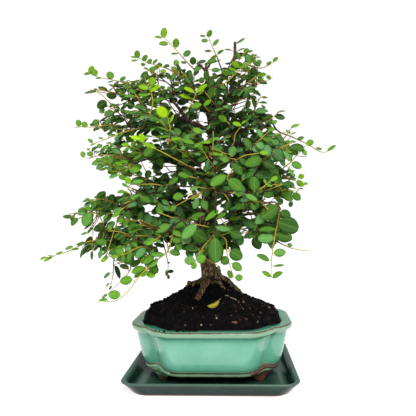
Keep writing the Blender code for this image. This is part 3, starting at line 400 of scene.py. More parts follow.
# Leaves that the photograph shows clearly, measured on four enlargements of it: the corner of each
# in pixels and its scale, then each leaf's stalk end and tip on it, the leaf's width there as a share
# of its length, and how new it is
LEAVES_SEEN = (
    ((30, 20), 9.8, (
        (1312, 175, 1312, 72, 0.6, 0.62), (1290, 180, 1220, 160, 0.4, 0.62),
        (1355, 235, 1262, 232, 0.5, 0.5), (1430, 272, 1432, 178, 0.75, 0.48),
        (1455, 328, 1382, 328, 0.35, 0.42), (1505, 352, 1572, 300, 0.65, 0.3),
        (1530, 425, 1475, 410, 0.5, 0.3), (1050, 375, 1052, 296, 0.8, 0.62),
        (1035, 370, 988, 352, 0.35, 0.6), (1055, 395, 985, 402, 0.4, 0.5),
        (1100, 400, 1150, 345, 0.6, 0.35), (1150, 425, 1195, 385, 0.7, 0.5),
        (1130, 440, 1085, 430, 0.7, 0.4), (1205, 430, 1250, 382, 0.35, 0.3),
        (1250, 455, 1295, 430, 0.8, 0.45), (1310, 455, 1370, 450, 0.6, 0.3),
        (580, 515, 622, 452, 0.7, 0.62), (600, 520, 527, 525, 0.5, 0.62), (650, 548, 612, 482, 0.9, 0.5),
        (800, 580, 770, 505, 0.95, 0.45), (700, 572, 640, 565, 0.28, 0.45), (815, 600, 758, 605, 0.3, 0.35),
        (880, 595, 940, 560, 0.55, 0.3), (930, 630, 872, 645, 0.4, 0.25), (990, 630, 1030, 595, 0.6, 0.25),
        (980, 660, 920, 665, 0.5, 0.25), (655, 700, 527, 710, 0.3, 0.22), (670, 685, 620, 675, 0.5, 0.2),
        (748, 795, 660, 860, 0.75, 0.24), (760, 690, 668, 650, 0.5, 0.18), (850, 745, 745, 735, 0.7, 0.16),
        (780, 820, 880, 870, 0.45, 0.3), (730, 905, 675, 900, 0.5, 0.5), (820, 900, 725, 935, 0.65, 0.2),
        (820, 920, 820, 1005, 0.45, 0.16), (885, 690, 835, 688, 0.9, 0.2),
        (480, 1040, 470, 975, 0.85, 0.52), (560, 1050, 512, 1000, 0.85, 0.5),
        (650, 1045, 640, 972, 0.9, 0.42), (495, 1048, 422, 1052, 0.18, 0.55),
        (740, 1020, 785, 960, 0.6, 0.25), (790, 1035, 740, 1072, 0.45, 0.2),
        (870, 1040, 800, 1062, 0.3, 0.2), (845, 1015, 880, 990, 0.5, 0.2), (615, 1205, 568, 1165, 0.6, 0.5),
        (640, 1215, 588, 1228, 0.35, 0.6), (715, 1165, 668, 1152, 0.5, 0.4),
        (770, 1140, 805, 1112, 0.45, 0.35), (520, 1345, 515, 1285, 0.85, 0.55),
        (610, 1325, 555, 1300, 0.8, 0.5), (620, 1330, 572, 1360, 0.3, 0.5),
        (625, 1300, 660, 1282, 0.5, 0.3), (700, 1310, 720, 1248, 0.6, 0.25),
        (760, 1290, 800, 1235, 0.5, 0.25), (775, 1482, 790, 1425, 0.9, 0.32),
        (850, 1495, 855, 1448, 0.8, 0.45), (890, 1500, 968, 1460, 0.5, 0.3),
        (1180, 640, 1215, 562, 0.95, 0.85), (1165, 670, 1065, 650, 0.65, 0.7),
        (1185, 700, 1268, 630, 0.5, 0.75), (1165, 730, 1062, 725, 0.4, 0.6),
        (1215, 790, 1320, 768, 0.28, 0.4), (1340, 950, 1245, 858, 0.9, 0.95),
        (1350, 940, 1395, 855, 0.3, 0.9), (1375, 1010, 1412, 925, 0.35, 0.85),
        (1350, 1090, 1242, 1045, 0.35, 0.6), (1355, 1145, 1238, 1130, 0.3, 0.55),
        (1100, 1200, 1085, 1115, 0.95, 0.85), (1080, 1170, 985, 1138, 0.45, 0.85),
        (1110, 1205, 1235, 1255, 0.45, 0.75), (1060, 1300, 980, 1305, 0.45, 0.5),
        (1200, 1260, 1115, 1330, 0.7, 0.35), (1375, 1260, 1440, 1220, 0.7, 0.6),
    )),
    ((180, 20), 9.503, (
        (345, 375, 258, 402, 0.45, 0.3), (215, 425, 128, 488, 0.5, 0.25), (300, 470, 380, 480, 0.5, 0.22),
        (128, 425, 120, 350, 0.95, 0.28), (60, 400, 8, 402, 0.45, 0.3), (262, 160, 300, 95, 0.7, 0.5),
        (240, 155, 188, 148, 0.45, 0.55), (265, 195, 202, 195, 0.58, 0.42),
        (320, 245, 365, 180, 0.55, 0.42), (298, 297, 232, 297, 0.48, 0.38), (355, 325, 418, 285, 0.5, 0.32),
        (490, 290, 422, 282, 0.35, 0.3), (532, 225, 615, 170, 0.38, 0.42), (605, 310, 655, 275, 0.8, 0.42),
        (560, 450, 490, 400, 0.7, 0.68), (590, 455, 655, 400, 0.5, 0.62), (535, 480, 460, 455, 0.5, 0.5),
        (480, 520, 395, 490, 0.75, 0.42), (665, 470, 740, 510, 0.7, 0.15), (700, 405, 765, 430, 0.6, 0.2),
        (885, 400, 928, 350, 0.6, 0.55), (822, 425, 870, 390, 0.5, 0.5), (865, 560, 820, 530, 0.7, 0.45),
        (730, 570, 790, 555, 0.5, 0.35), (640, 590, 725, 545, 0.5, 0.25), (765, 720, 735, 685, 0.6, 0.2),
        (780, 738, 835, 735, 0.35, 0.3), (750, 790, 830, 785, 0.38, 0.3), (700, 745, 715, 835, 0.5, 0.25),
        (340, 650, 270, 740, 0.85, 0.22), (430, 700, 500, 795, 0.45, 0.22), (140, 690, 40, 640, 0.5, 0.8),
        (165, 680, 255, 605, 0.5, 0.85), (100, 745, 0, 710, 0.45, 0.75), (160, 705, 225, 660, 0.5, 0.75),
        (225, 815, 295, 760, 0.6, 0.55), (110, 830, 205, 800, 0.6, 0.45), (440, 960, 370, 910, 0.8, 0.5),
        (580, 1000, 500, 975, 0.6, 0.6), (585, 985, 630, 950, 0.5, 0.6), (920, 885, 1003, 862, 0.25, 0.45),
        (900, 905, 998, 935, 0.5, 0.22), (1055, 1020, 1135, 988, 0.35, 0.6),
        (1050, 1085, 1108, 1068, 0.4, 0.6), (1115, 1135, 1180, 1110, 0.6, 0.35),
        (1200, 1180, 1270, 1150, 0.8, 0.55), (1185, 1230, 1045, 1205, 0.55, 0.28),
        (1295, 1215, 1350, 1225, 0.5, 0.45), (1400, 1240, 1482, 1190, 0.35, 0.5),
        (1125, 1295, 1205, 1300, 0.22, 0.4), (880, 1240, 985, 1330, 0.85, 0.12),
        (985, 1245, 1045, 1325, 0.5, 0.35), (780, 1330, 615, 1370, 0.6, 0.28),
        (500, 1200, 490, 1300, 0.9, 0.34),
    )),
    ((30, 165), 9.8, (
        (985, 180, 935, 120, 0.8, 0.68), (1000, 170, 1110, 155, 0.4, 0.42), (415, 512, 322, 495, 0.5, 0.28),
        (590, 475, 530, 600, 0.8, 0.34), (590, 450, 545, 395, 0.7, 0.5), (545, 480, 465, 475, 0.5, 0.26),
        (590, 338, 510, 358, 0.3, 0.4), (650, 320, 735, 262, 0.5, 0.18), (690, 430, 790, 390, 0.8, 0.12),
        (690, 560, 710, 640, 0.9, 0.08), (610, 570, 525, 630, 0.25, 0.2), (620, 610, 555, 670, 0.3, 0.28),
        (560, 660, 500, 685, 0.5, 0.35), (160, 900, 98, 928, 0.4, 0.62), (235, 900, 165, 885, 0.3, 0.6),
        (215, 905, 130, 945, 0.4, 0.62), (320, 850, 248, 868, 0.3, 0.5), (420, 800, 342, 820, 0.4, 0.4),
        (400, 830, 480, 825, 0.4, 0.6), (545, 755, 450, 780, 0.38, 0.3), (640, 730, 750, 770, 0.7, 0.28),
        (520, 830, 490, 910, 0.45, 0.28), (612, 840, 600, 932, 0.45, 0.28), (700, 830, 680, 918, 0.5, 0.28),
        (750, 870, 735, 920, 0.5, 0.35), (870, 890, 790, 900, 0.6, 0.52), (785, 1055, 722, 1110, 0.5, 0.3),
        (835, 985, 880, 1115, 0.4, 0.2), (775, 1155, 742, 1192, 0.4, 0.2), (800, 1185, 772, 1225, 0.4, 0.2),
        (1002, 1115, 880, 1145, 0.75, 0.42), (885, 1275, 768, 1270, 0.8, 0.46),
        (760, 1268, 700, 1300, 0.5, 0.42), (760, 1320, 670, 1325, 0.28, 0.6),
        (1120, 1010, 990, 1045, 0.5, 0.45), (1160, 1040, 1085, 1090, 0.5, 0.42),
        (1220, 880, 1110, 960, 0.55, 0.4), (1250, 915, 1180, 1000, 0.5, 0.45),
        (1325, 800, 1212, 770, 0.4, 0.45), (1320, 880, 1190, 865, 0.35, 0.45),
        (1390, 720, 1475, 750, 0.8, 0.42), (1400, 640, 1480, 700, 0.6, 0.42),
        (1225, 650, 1370, 590, 0.55, 0.42), (1360, 690, 1222, 660, 0.4, 0.45),
        (1420, 590, 1530, 565, 0.7, 0.3), (880, 980, 970, 1015, 0.6, 0.2),
        (1210, 985, 1245, 1065, 0.8, 0.18), (1345, 965, 1375, 952, 0.6, 0.25),
        (1350, 1045, 1408, 1040, 0.6, 0.25), (1340, 1030, 1335, 1090, 0.5, 0.25),
        (1355, 1075, 1358, 1120, 0.7, 0.25), (1500, 300, 1400, 320, 0.8, 0.48),
        (1430, 400, 1375, 450, 0.8, 0.34),
    )),
    ((180, 165), 9.503, (
        (150, 560, 20, 690, 0.6, 0.36), (930, 400, 775, 500, 0.85, 0.32), (955, 440, 1050, 495, 0.8, 0.15),
        (935, 545, 1130, 610, 0.85, 0.1), (898, 610, 750, 608, 0.42, 0.42),
        (890, 690, 745, 700, 0.75, 0.34), (915, 660, 1068, 700, 0.75, 0.3), (890, 840, 1008, 825, 0.7, 0.4),
        (848, 905, 728, 860, 0.45, 0.45), (885, 962, 990, 945, 0.2, 0.35),
        (865, 1060, 780, 1010, 0.5, 0.52), (880, 1070, 975, 1020, 0.55, 0.52),
        (1020, 750, 1070, 770, 0.7, 0.4), (700, 690, 760, 800, 0.75, 0.18), (800, 480, 715, 555, 0.8, 0.24),
        (475, 815, 590, 890, 0.9, 0.34), (462, 880, 390, 935, 1.0, 0.36), (500, 930, 585, 1000, 0.75, 0.36),
        (495, 1078, 455, 1000, 0.6, 0.36), (525, 1075, 597, 1068, 0.95, 0.38),
        (355, 950, 385, 995, 0.35, 0.4), (330, 690, 345, 930, 0.65, 0.2), (160, 915, 240, 870, 1.0, 0.42),
        (140, 905, 40, 910, 0.9, 0.4), (145, 925, 120, 993, 0.75, 0.45), (120, 640, 265, 720, 0.85, 0.22),
        (190, 790, 50, 780, 0.62, 0.34), (370, 435, 230, 520, 0.45, 0.5), (350, 500, 435, 455, 0.5, 0.4),
        (345, 590, 480, 605, 0.5, 0.28), (480, 640, 585, 680, 0.9, 0.12), (430, 100, 290, 185, 0.6, 0.4),
        (465, 140, 590, 240, 0.8, 0.28), (705, 245, 705, 110, 0.9, 0.34), (630, 280, 735, 335, 0.5, 0.4),
        (880, 240, 795, 300, 0.9, 0.24), (440, 230, 305, 280, 0.65, 0.14), (240, 180, 245, 300, 0.9, 0.14),
        (185, 290, 102, 320, 0.6, 0.5), (170, 330, 130, 415, 0.8, 0.34), (215, 330, 250, 420, 0.8, 0.4),
        (470, 340, 430, 435, 0.8, 0.14), (1125, 112, 1182, 103, 0.9, 0.62),
        (1110, 150, 1175, 200, 0.7, 0.6), (1170, 182, 1215, 175, 0.6, 0.6),
        (1080, 265, 1140, 335, 0.8, 0.3), (985, 245, 1060, 340, 0.75, 0.4),
        (1035, 25, 1085, 110, 0.4, 0.42), (1060, 345, 1045, 400, 0.75, 0.2),
    )),
)
# How a seen leaf is set: its true width as a share of its length, how often it may step forward and
# by how much, how far its tip may lie behind or before its foot, and its tilt's play
SEEN_WIDTH = 0.68
SEEN_TRIES = 10
SEEN_FORWARD = 1.3
SEEN_SWING = (-0.10, 0.40)
SEEN_TILT = (-6, 14)
LEAF_STEM_RADIUS = 0.85
LEAF_STEM_TAPER = 0.45
# Room in front of a seen leaf before another counts as hiding it, half the width of a seen stem, and
# how many pixels a seen leaf's stalk reaches
SHOWN_ROOM = 2.0
STEM_SHOWN = 1.4
STALK_REACH = 6.0
# How gladly a stem bends on its way out of a limb, and the length over which its age changes there
LIMB_COST_GAP = 2
LIMB_COST_TURN = 2.2
JOIN_GAP = 3
JOIN_FADE = 5.0
# Sprays that end below this height in mm get lighter, newer-looking leaves by this much, as painted light on
# the lower crown
PAINTED_LIGHT_BELOW = 310
PAINTED_LOW_LIGHT = 0.08
# Shoots above, counted from 0, whose leaves are all among these
BARE_SHOOTS = (
    0, 1, 2, 3, 4, 5, 6, 8, 9, 10, 11, 12, 14, 15, 16, 17, 18, 19, 20, 21, 24, 27, 28, 30, 36, 37, 38,
    39, 40, 41, 42, 43, 44, 45, 46, 48, 49, 50, 52,
)


# Small helpers


def direction(bearing, pitch):
    a = math.radians(bearing)
    p = math.radians(pitch)
    return Vector((math.cos(p) * math.cos(a), math.cos(p) * math.sin(a), math.sin(p)))


def bearing_of(vector):
    return math.degrees(math.atan2(vector.y, vector.x))


def trunk_at(height):
    z = height / MM
    for low, high in zip(TRUNK, TRUNK[1:]):
        if low[2] <= z <= high[2]:
            t = (z - low[2]) / (high[2] - low[2])
            centre = Vector([low[i] + (high[i] - low[i]) * t for i in range(3)]) * MM
            return centre, (low[3] + (high[3] - low[3]) * t) * MM
    top = TRUNK[-1]
    return Vector(top[:3]) * MM, top[3] * MM


def bezier(controls, t):
    a, b, c, d = controls
    u = 1 - t
    return a * u**3 + b * (3 * u * u * t) + c * (3 * u * t * t) + d * t**3


def graded(first, last, steps):
    return [first + (last - first) * i / steps for i in range(steps + 1)]


def circle(radius, count):
    angles = [2 * math.pi * i / count for i in range(count)]
    return [(radius * math.cos(angle), radius * math.sin(angle)) for angle in angles]


def curve_points(controls, first=0.0, last=1.0, steps=CURVE_STEPS):
    return [bezier(controls, t) for t in graded(first, last, steps)]


def length_of(points):
    return sum((b - a).length for a, b in zip(points, points[1:]))


def along(points, distance):
    left = max(distance, 0.0)
    for a, b in zip(points, points[1:]):
        span = (b - a).length
        if left <= span:
            return a.lerp(b, left / span), (b - a).normalized()
        left -= span
    return points[-1].copy(), (points[-1] - points[-2]).normalized()


def resampled(points, total, steps):
    """Even places along the first part of a path."""
    return [along(points, distance)[0] for distance in graded(0, total, steps)]


def too_near(points, others, room):
    return any((a - b).length_squared < room * room for a in points for b in others)


def square_to(vector, axis):
    return (vector - axis * vector.dot(axis)).normalized()


def turned(vector, axis, degrees):
    return Quaternion(axis, math.radians(degrees)) @ vector


def stray(draw, amount):
    return Vector([draw.uniform(-amount, amount) for _ in range(3)])


# Skeleton, whose curves are drawn as the frame's own are


def limb_controls(start, tip, last_pitch, draw, amount):
    heading = bearing_of(tip - start)
    reach = HANDLE * (tip - start).length
    first_pitch = draw.uniform(*FIRST_PITCH)
    last_pitch += draw.uniform(-LAST_PITCH_SPREAD, LAST_PITCH_SPREAD)
    bend = stray(draw, 1) * amount
    first = start + direction(heading, first_pitch) * reach + bend
    second = tip - direction(heading, last_pitch) * reach - COUNTER_BEND * bend
    return start, first, second, tip


def plan_limbs():
    plans = []
    taken = []
    for k, (parent, place, bearing, out, height, pitch, share) in enumerate(LIMBS):
        tip = direction(bearing, 0) * out * MM + UP * height * MM
        if parent is TRUNK_LIMB:
            start, _ = trunk_at(place * MM)
        else:
            start = bezier(plans[parent]["controls"], plans[parent]["share"] * place)
        draw = random.Random(LIMB_SEED + k)
        clear_from = (CLEAR_OF_TRUNK if parent is TRUNK_LIMB else CLEAR_OF_LIMB) * MM
        for attempt in range(LIMB_TRIES):
            amount = LIMB_BEND * MM * (1 + LIMB_BEND_GROWTH * attempt)
            controls = limb_controls(start, tip, pitch, draw, amount)
            points = curve_points(controls, steps=LIMB_STEPS)
            free = [p for p in points if (p - start).length > clear_from]
            if not too_near(free, taken, WOOD_SPACING * MM):
                break
        taken.extend(free)
        plans.append({"controls": controls, "share": share, "fork": parent is not TRUNK_LIMB})
    return plans


def plan_twig(points, above_hint):
    length = length_of(points)
    count = max(1, int(length / (NODE_SPACING * MM)))
    first = FIRST_NODE * length / count
    nodes = [first + (length - first - LAST_STEM * MM) * i / count for i in range(count)]
    return {"points": points, "hint": above_hint, "nodes": nodes}


def plan_side_twig(draw, main, node, sign, taken):
    root, ahead = along(main["points"], node)
    above = square_to(main["hint"], ahead)
    outer = turned(above.cross(ahead) * sign, ahead, sign * SIDE_FACE_TILT)
    for _ in range(SIDE_TWIG_TRIES):
        length = draw.uniform(*SIDE_TWIG_LENGTH) * MM
        start = turned(ahead, above, sign * draw.uniform(*SIDE_TWIG_ANGLE))
        end = root + (start + UP * draw.uniform(*SIDE_TWIG_RISE)) * length
        arch = above * SIDE_TWIG_ARCH * length
        path = [root.lerp(end, t / 8) + arch * math.sin(math.pi * t / 8) for t in range(9)]
        leans = (path[1] - root).normalized().dot(outer) > SIDE_TWIG_LEAN
        if not leans or too_near(path[2:], taken, WOOD_SPACING * MM):
            continue
        taken.extend(path[2:])
        return plan_twig(path, main["hint"])
    return None


def facing(point, shares):
    """Which way a shoot or a leaf around a point would turn its upper side."""
    up, out, across = shares
    outward = Vector((point.x, point.y, 0)).normalized()
    across = -across if point.y < FRONT_LIMIT * MM else across
    return (UP * up + outward * out + Vector((0, across, 0))).normalized()


def plan_shoot(k, plan, taken):
    draw = random.Random(SHOOT_SEED + k)
    points = curve_points(plan["controls"], plan["share"], 1.0, 30)
    _, ahead = along(points, 0.0)
    points[0] = points[0] + ahead * GAP
    hint = facing(points[-1], FACING) + UP * HINT_RISE
    hint += stray(draw, HINT_STRAY)
    main = plan_twig(points, hint)
    twigs = [main]
    sign = draw.choice((-1, 1))
    for share in SIDE_TWIG_SHARES:
        if len(main["nodes"]) < FEWEST_NODES:
            continue
        node = main["nodes"][int(share * len(main["nodes"]))]
        twig = plan_side_twig(draw, main, node, sign, taken)
        if twig:
            twigs.append(twig)
        sign = -sign
    return twigs


# Meshes


def new_mesh(name, points, faces):
    mesh = bpy.data.meshes.new(name)
    mesh.from_pydata(points, [], faces)
    return mesh


class Skin:
    """Points and faces gathered for one piece, with a finish for each face and values for each point."""

    def __init__(self):
        self.points = []
        self.faces = []
        self.finishes = []
        self.uvs = []
        self.age = []
        self.tone = []
        self.count = 0

    def add(self, points, faces, finish=0, age=0.0, tone=0.5, uvs=None):
        """Adds a part, with one finish, age and tone for all of it or one for each face or point."""
        n = len(points)
        self.points.append(np.asarray(points, float))
        self.faces.extend([tuple(i + self.count for i in face) for face in faces])
        self.finishes.extend([finish] * len(faces) if isinstance(finish, int) else finish)
        self.uvs.append(np.zeros((n, 2)) if uvs is None else uvs)
        for values, value in ((self.age, age), (self.tone, tone)):
            values.append(np.full(n, value) if np.isscalar(value) else np.asarray(value, float))
        self.count += n

    def add_tube(self, path, radii, sides, finish, age, tone):
        self.add(*tube(path, radii, sides), finish, age, tone)

    def make(self, name, materials, slot):
        mesh = new_mesh(name, np.vstack(self.points).tolist(), self.faces)
        for material in materials:
            mesh.materials.append(material)
        mesh.polygons.foreach_set("material_index", self.finishes)
        mesh.shade_smooth()
        corners = np.empty(len(mesh.loops), np.int32)
        mesh.loops.foreach_get("vertex_index", corners)
        layer = mesh.uv_layers.new(name="UVMap")
        layer.data.foreach_set("uv", np.vstack(self.uvs)[corners].astype(np.float32).ravel())
        for label, values in (("age", self.age), ("tone", self.tone)):
            attribute = mesh.attributes.new(label, "FLOAT", "POINT")
            attribute.data.foreach_set("value", np.concatenate(values).astype(np.float32))
        mesh.update()
        piece = linked_object(name, mesh)
        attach(piece, "root")
        return piece


def ring_faces(rows, count):
    """Quads between rings of points that follow one another."""
    faces = []
    for low in range(0, (rows - 1) * count, count):
        for k in range(count):
            after = (k + 1) % count
            faces.append((low + k, low + after, low + count + after, low + count + k))
    return faces


def tube(points, radii, sides):
    """Points and faces of a tube along a path, with each ring square to the path and both ends closed."""
    rings = []
    side = UP.cross(points[1] - points[0])
    if side.length < 1e-9:
        side = Vector((1, 0, 0))
    for i, point in enumerate(points):
        ahead = (points[min(i + 1, len(points) - 1)] - points[max(i - 1, 0)]).normalized()
        side = square_to(side, ahead)
        over = ahead.cross(side)
        for x, y in circle(1, sides):
            rings.append(point + (side * x + over * y) * radii[i])
    faces = ring_faces(len(points), sides)
    faces.append(tuple(reversed(range(sides))))
    faces.append(tuple(range(len(rings) - sides, len(rings))))
    return rings, faces


# Leaves


def leaf_faces():
    """Triangles of a leaf: upper side, then under side, which meet along the leaf's edge."""
    columns = len(LEAF_COLUMNS)
    inner = columns - 2
    rows = len(LEAF_ROWS) - 2
    tip = 1 + rows * (columns + inner)

    def upper(row, column):
        return 1 + row * columns + column

    def under(row, column):
        if column in (0, columns - 1):
            return upper(row, column)
        return 1 + rows * columns + row * inner + column - 1

    faces = []
    finishes = []
    for layer, finish in ((upper, LEAF_TOP), (under, LEAF_UNDER)):
        sheet = []
        for c in range(columns - 1):
            sheet.append((0, layer(0, c), layer(0, c + 1)))
            sheet.append((tip, layer(rows - 1, c + 1), layer(rows - 1, c)))
            for r in range(rows - 1):
                sheet.append((layer(r, c), layer(r + 1, c), layer(r + 1, c + 1), layer(r, c + 1)))
        faces += sheet if finish == LEAF_UNDER else [tuple(reversed(face)) for face in sheet]
        finishes += [finish] * len(sheet)
    return faces, finishes


LEAF_TOP, LEAF_UNDER, TWIG_WOOD = range(3)
LEAF_FACES, LEAF_FINISHES = leaf_faces()
LEAF_T = np.array(LEAF_ROWS)
LEAF_WIDTH = np.sin(np.pi * LEAF_T**0.94) ** 0.53
LEAF_WIDTH[[0, -1]] = 0.0


def leaf_points(root, out, face, length, width, fold, droop, cup, twist):
    """A leaf's points and their place on it, from its stalk's end to its tip."""
    a = np.array(out)
    n = np.array(face)
    centre = np.array(root)
    u = np.array(LEAF_COLUMNS)
    upper = []
    under = []
    ends = []
    uv_upper = []
    uv_under = []
    last = 0.0
    for i, t in enumerate(LEAF_T):
        s = np.cross(n, a)
        centre = centre + a * (t - last) * length
        if i in (0, len(LEAF_T) - 1):
            ends.append(centre.copy())
        else:
            roll = twist * (t - 0.5)
            across = s * math.cos(roll) + n * math.sin(roll)
            lift = np.abs(u) * math.sin(fold) - cup * u * u
            half = 0.5 * width * LEAF_WIDTH[i]
            row = centre + np.outer(u * half * math.cos(fold), across) + np.outer(lift * half, n)
            thick = 0.5 * LEAF_THICK * MM * (1 - np.abs(u) ** 3)
            upper.append(row + np.outer(thick, n))
            under.append((row - np.outer(thick, n))[1:-1])
            uv_upper.append(np.stack([0.5 + 0.5 * u * LEAF_WIDTH[i], np.full(len(u), t)], 1))
            uv_under.append(uv_upper[-1][1:-1])
        turn = droop * (LEAF_T[min(i + 1, len(LEAF_T) - 1)] - t)
        a, n = a * math.cos(turn) - n * math.sin(turn), n * math.cos(turn) + a * math.sin(turn)
        last = t
    points = np.vstack([ends[0][None], *upper, *under, ends[1][None]])
    uvs = np.vstack([[[0.5, 0.0]], *uv_upper, *uv_under, [[0.5, 1.0]]])
    return points, uvs


class Canopy:
    """Keeps where the leaves are, so that none grows through another."""

    CELL = 14 * MM
    TOUCH = 0.5 * MM

    def __init__(self, low, high):
        margin = (high - low) * BOX_MARGIN
        self.low = np.array(low - margin)
        self.high = np.array(high + margin)
        self.cells = {}
        self.has_edge = False
        self.edge = np.array(CROWN_EDGE, float)
        self.gaps = np.array(CROWN_GAPS)
        right, rise, ahead = camera_axes()
        self.axes = np.array([right, rise, ahead])
        self.eye = np.array(CAMERA_AT) * MM
        self.shown = []
        self.shown_rows = None
        self.is_guarded = False

    def pixels(self, points):
        """Where the camera sees some points."""
        across, over, ahead = ((points - self.eye) @ self.axes.T).T
        px = FRAME_PIXELS / 2 - CENTRE_SHIFT + FOCAL_PIXELS * across / ahead
        return np.stack([px, FRAME_PIXELS / 2 - FOCAL_PIXELS * over / ahead], 1)

    def is_inside(self, pixel):
        x, y = pixel
        x1, y1 = self.edge.T
        x2, y2 = np.roll(self.edge, -1, 0).T
        spans = (y1 > y) != (y2 > y)
        return (x < x1 + (y - y1) * (x2 - x1) / np.where(spans, y2 - y1, 1.0))[spans].sum() % 2 == 1

    def is_in_view(self, points):
        seen = self.pixels(points)
        if not self.is_inside(seen.mean(0)):
            return False
        gaps = seen[:, None, :] - self.gaps[None, :, :2]
        return ((gaps**2).sum(2) > self.gaps[:, 2] ** 2).all()

    def show(self, points, half_width):
        """Notes a leaf or a stretch of stem that later leaves are not to hide from the camera."""
        ends = self.pixels(points)
        middle = 0.5 * (ends[0] + ends[-1])
        ahead = ends[-1] - ends[0]
        length = np.linalg.norm(ahead) + 1e-6
        depth = ((points - self.eye) @ self.axes[2]).mean()
        pixels = FOCAL_PIXELS * half_width / depth
        self.shown.append((*middle, *(ahead / length), 0.5 * length + 0.4, pixels, depth - SHOWN_ROOM * MM))

    def hides_shown(self, points):
        if self.shown_rows is None:
            self.shown_rows = np.array(self.shown)
        rows = self.shown_rows
        seen = self.pixels(points)
        depth = (points - self.eye) @ self.axes[2]
        gaps = seen[:, None, :] - rows[None, :, :2]
        down = gaps[..., 0] * rows[:, 2] + gaps[..., 1] * rows[:, 3]
        across = gaps[..., 1] * rows[:, 2] - gaps[..., 0] * rows[:, 3]
        inside = (down / rows[:, 4]) ** 2 + (across / rows[:, 5]) ** 2 < 1
        return (inside & (depth[:, None] < rows[:, 6])).any()

    def kept(self, path):
        """The first part of a twig's path, up to where it would leave the crown's edge."""
        seen = self.pixels(np.array(path))
        for i, pixel in enumerate(seen):
            if i > 0 and not self.is_inside(pixel):
                return path[:i]
        return path

    def cell(self, point):
        return tuple(int(math.floor(c / self.CELL)) for c in point)

    def near(self, point):
        x, y, z = self.cell(point)
        for i in (-1, 0, 1):
            for j in (-1, 0, 1):
                for k in (-1, 0, 1):
                    yield from self.cells.get((x + i, y + j, z + k), ())

    def is_clear(self, points, middle, ahead, over, length, width):
        if (points < self.low).any() or (points > self.high).any():
            return False
        if self.has_edge and not self.is_in_view(points):
            return False
        side = np.cross(over, ahead)
        for m, a, n, s, half_l, half_w, others in self.near(middle):
            gap = middle - m
            if gap @ gap > (half_l + 0.5 * length) ** 2:
                continue
            if crosses(points, m, a, n, s, half_l, half_w):
                return False
            if crosses(others, middle, ahead, over, side, 0.5 * length, 0.5 * width):
                return False
        return True

    def place(self, points, middle, ahead, over, length, width):
        side = np.cross(over, ahead)
        entry = (middle, ahead, over, side, 0.5 * length, 0.5 * width, points)
        self.cells.setdefault(self.cell(middle), []).append(entry)


def crosses(points, middle, ahead, over, side, half_length, half_width):
    """Whether points of one leaf lie in or on both sides of another, within its outline."""
    offset = points - middle
    reach = (offset @ ahead / half_length) ** 2 + (offset @ side / half_width) ** 2
    inside = reach < 1.0
    if not inside.any():
        return False
    heights = (offset @ over)[inside]
    if np.abs(heights).min() < Canopy.TOUCH:
        return True
    return heights.min() < 0 < heights.max()


# The leaf's points that stand for its outline where two leaves are compared
OUTLINE = [0, 6, 10, 16, 20, 31, 35, -1]


def leaf_bend(draw, fold, droop, cup, twist):
    return (
        math.radians(draw.uniform(*fold)),
        math.radians(draw.uniform(*droop)),
        draw.uniform(*cup),
        draw.uniform(-twist, twist),
    )


def grow_leaf(skin, canopy, draw, foot, out_of, above, sign, scale, youth, lean):
    """One leaf with its stalk, on one side of a twig or at its tip, or nothing where there is no room."""
    scale *= size_at(foot)
    for attempt in range(LEAF_TRIES):
        length = draw.uniform(*LEAF_LENGTH) * MM * scale * (1 - LEAF_SHRINK * attempt)
        width = length * draw.uniform(*LEAF_SHAPE)
        turn = sign * draw.uniform(*LEAF_ANGLE) if sign else draw.uniform(-TIP_TURN, TIP_TURN)
        wanted = (above * LEAF_ABOVE + lean * LEAF_LEAN + stray(draw, LEAF_STRAY)).normalized()
        out = turned(out_of, above, turn)
        out = (out - wanted * LEAF_LEVEL * out.dot(wanted)).normalized()
        face = square_to(wanted, out)
        stalk = draw.uniform(*STALK_LENGTH) * MM
        root = foot + out * stalk
        points, uvs = leaf_points(root, out, face, length, width, *leaf_bend(draw, *LEAF_BEND))
        if settle(skin, canopy, draw, points, uvs, face, length, width, youth):
            add_stalk(skin, foot - out * STALK_ENDS[0] * MM, root + out * STALK_ENDS[1] * MM, youth)
            return


def settle(skin, canopy, draw, points, uvs, face, length, width, youth):
    """Adds a leaf where it grows through no other."""
    middle = 0.5 * (points[0] + points[-1])
    ahead = points[-1] - points[0]
    ahead /= np.linalg.norm(ahead)
    over = np.array(face)
    over -= ahead * (over @ ahead)
    over /= np.linalg.norm(over)
    rim = points[OUTLINE]
    if not canopy.is_clear(rim, middle, ahead, over, length, width):
        return False
    if canopy.is_guarded and canopy.hides_shown(points[::2]):
        return False
    canopy.place(rim, middle, ahead, over, length, width)
    skin.add(points, LEAF_FACES, LEAF_FINISHES, youth, draw.random(), uvs)
    return True


def add_stalk(skin, start, end, youth):
    radii = [radius * MM for radius in STALK_RADII]
    skin.add_tube([start, end], radii, 4, TWIG_WOOD, 0.55 + 0.45 * youth, 0.5)


def nearest_shoot(paths, pixel):
    """How far a pixel is from the shoot seen nearest to it, squared, the shoot's limb and its place."""
    best = None
    for index, points, pixels in paths:
        gaps = ((pixels - np.array(pixel)) ** 2).sum(1)
        i = int(gaps.argmin())
        if best is None or gaps[i] < best[0]:
            best = (gaps[i], index, points[i])
    return best


def nearest_limb(place, ahead, plans):
    """The place on a limb from which a stem reaches a point soonest and with the least bend."""
    best = None
    for index, plan in enumerate(plans):
        for point in curve_points(plan["controls"], 0.1, 0.95, 30):
            way = place - point
            cost = (way.length + LIMB_COST_GAP * MM) * (LIMB_COST_TURN - way.normalized().dot(ahead))
            if best is None or cost < best[0]:
                best = (cost, way.length, index, point)
    return best[1:]


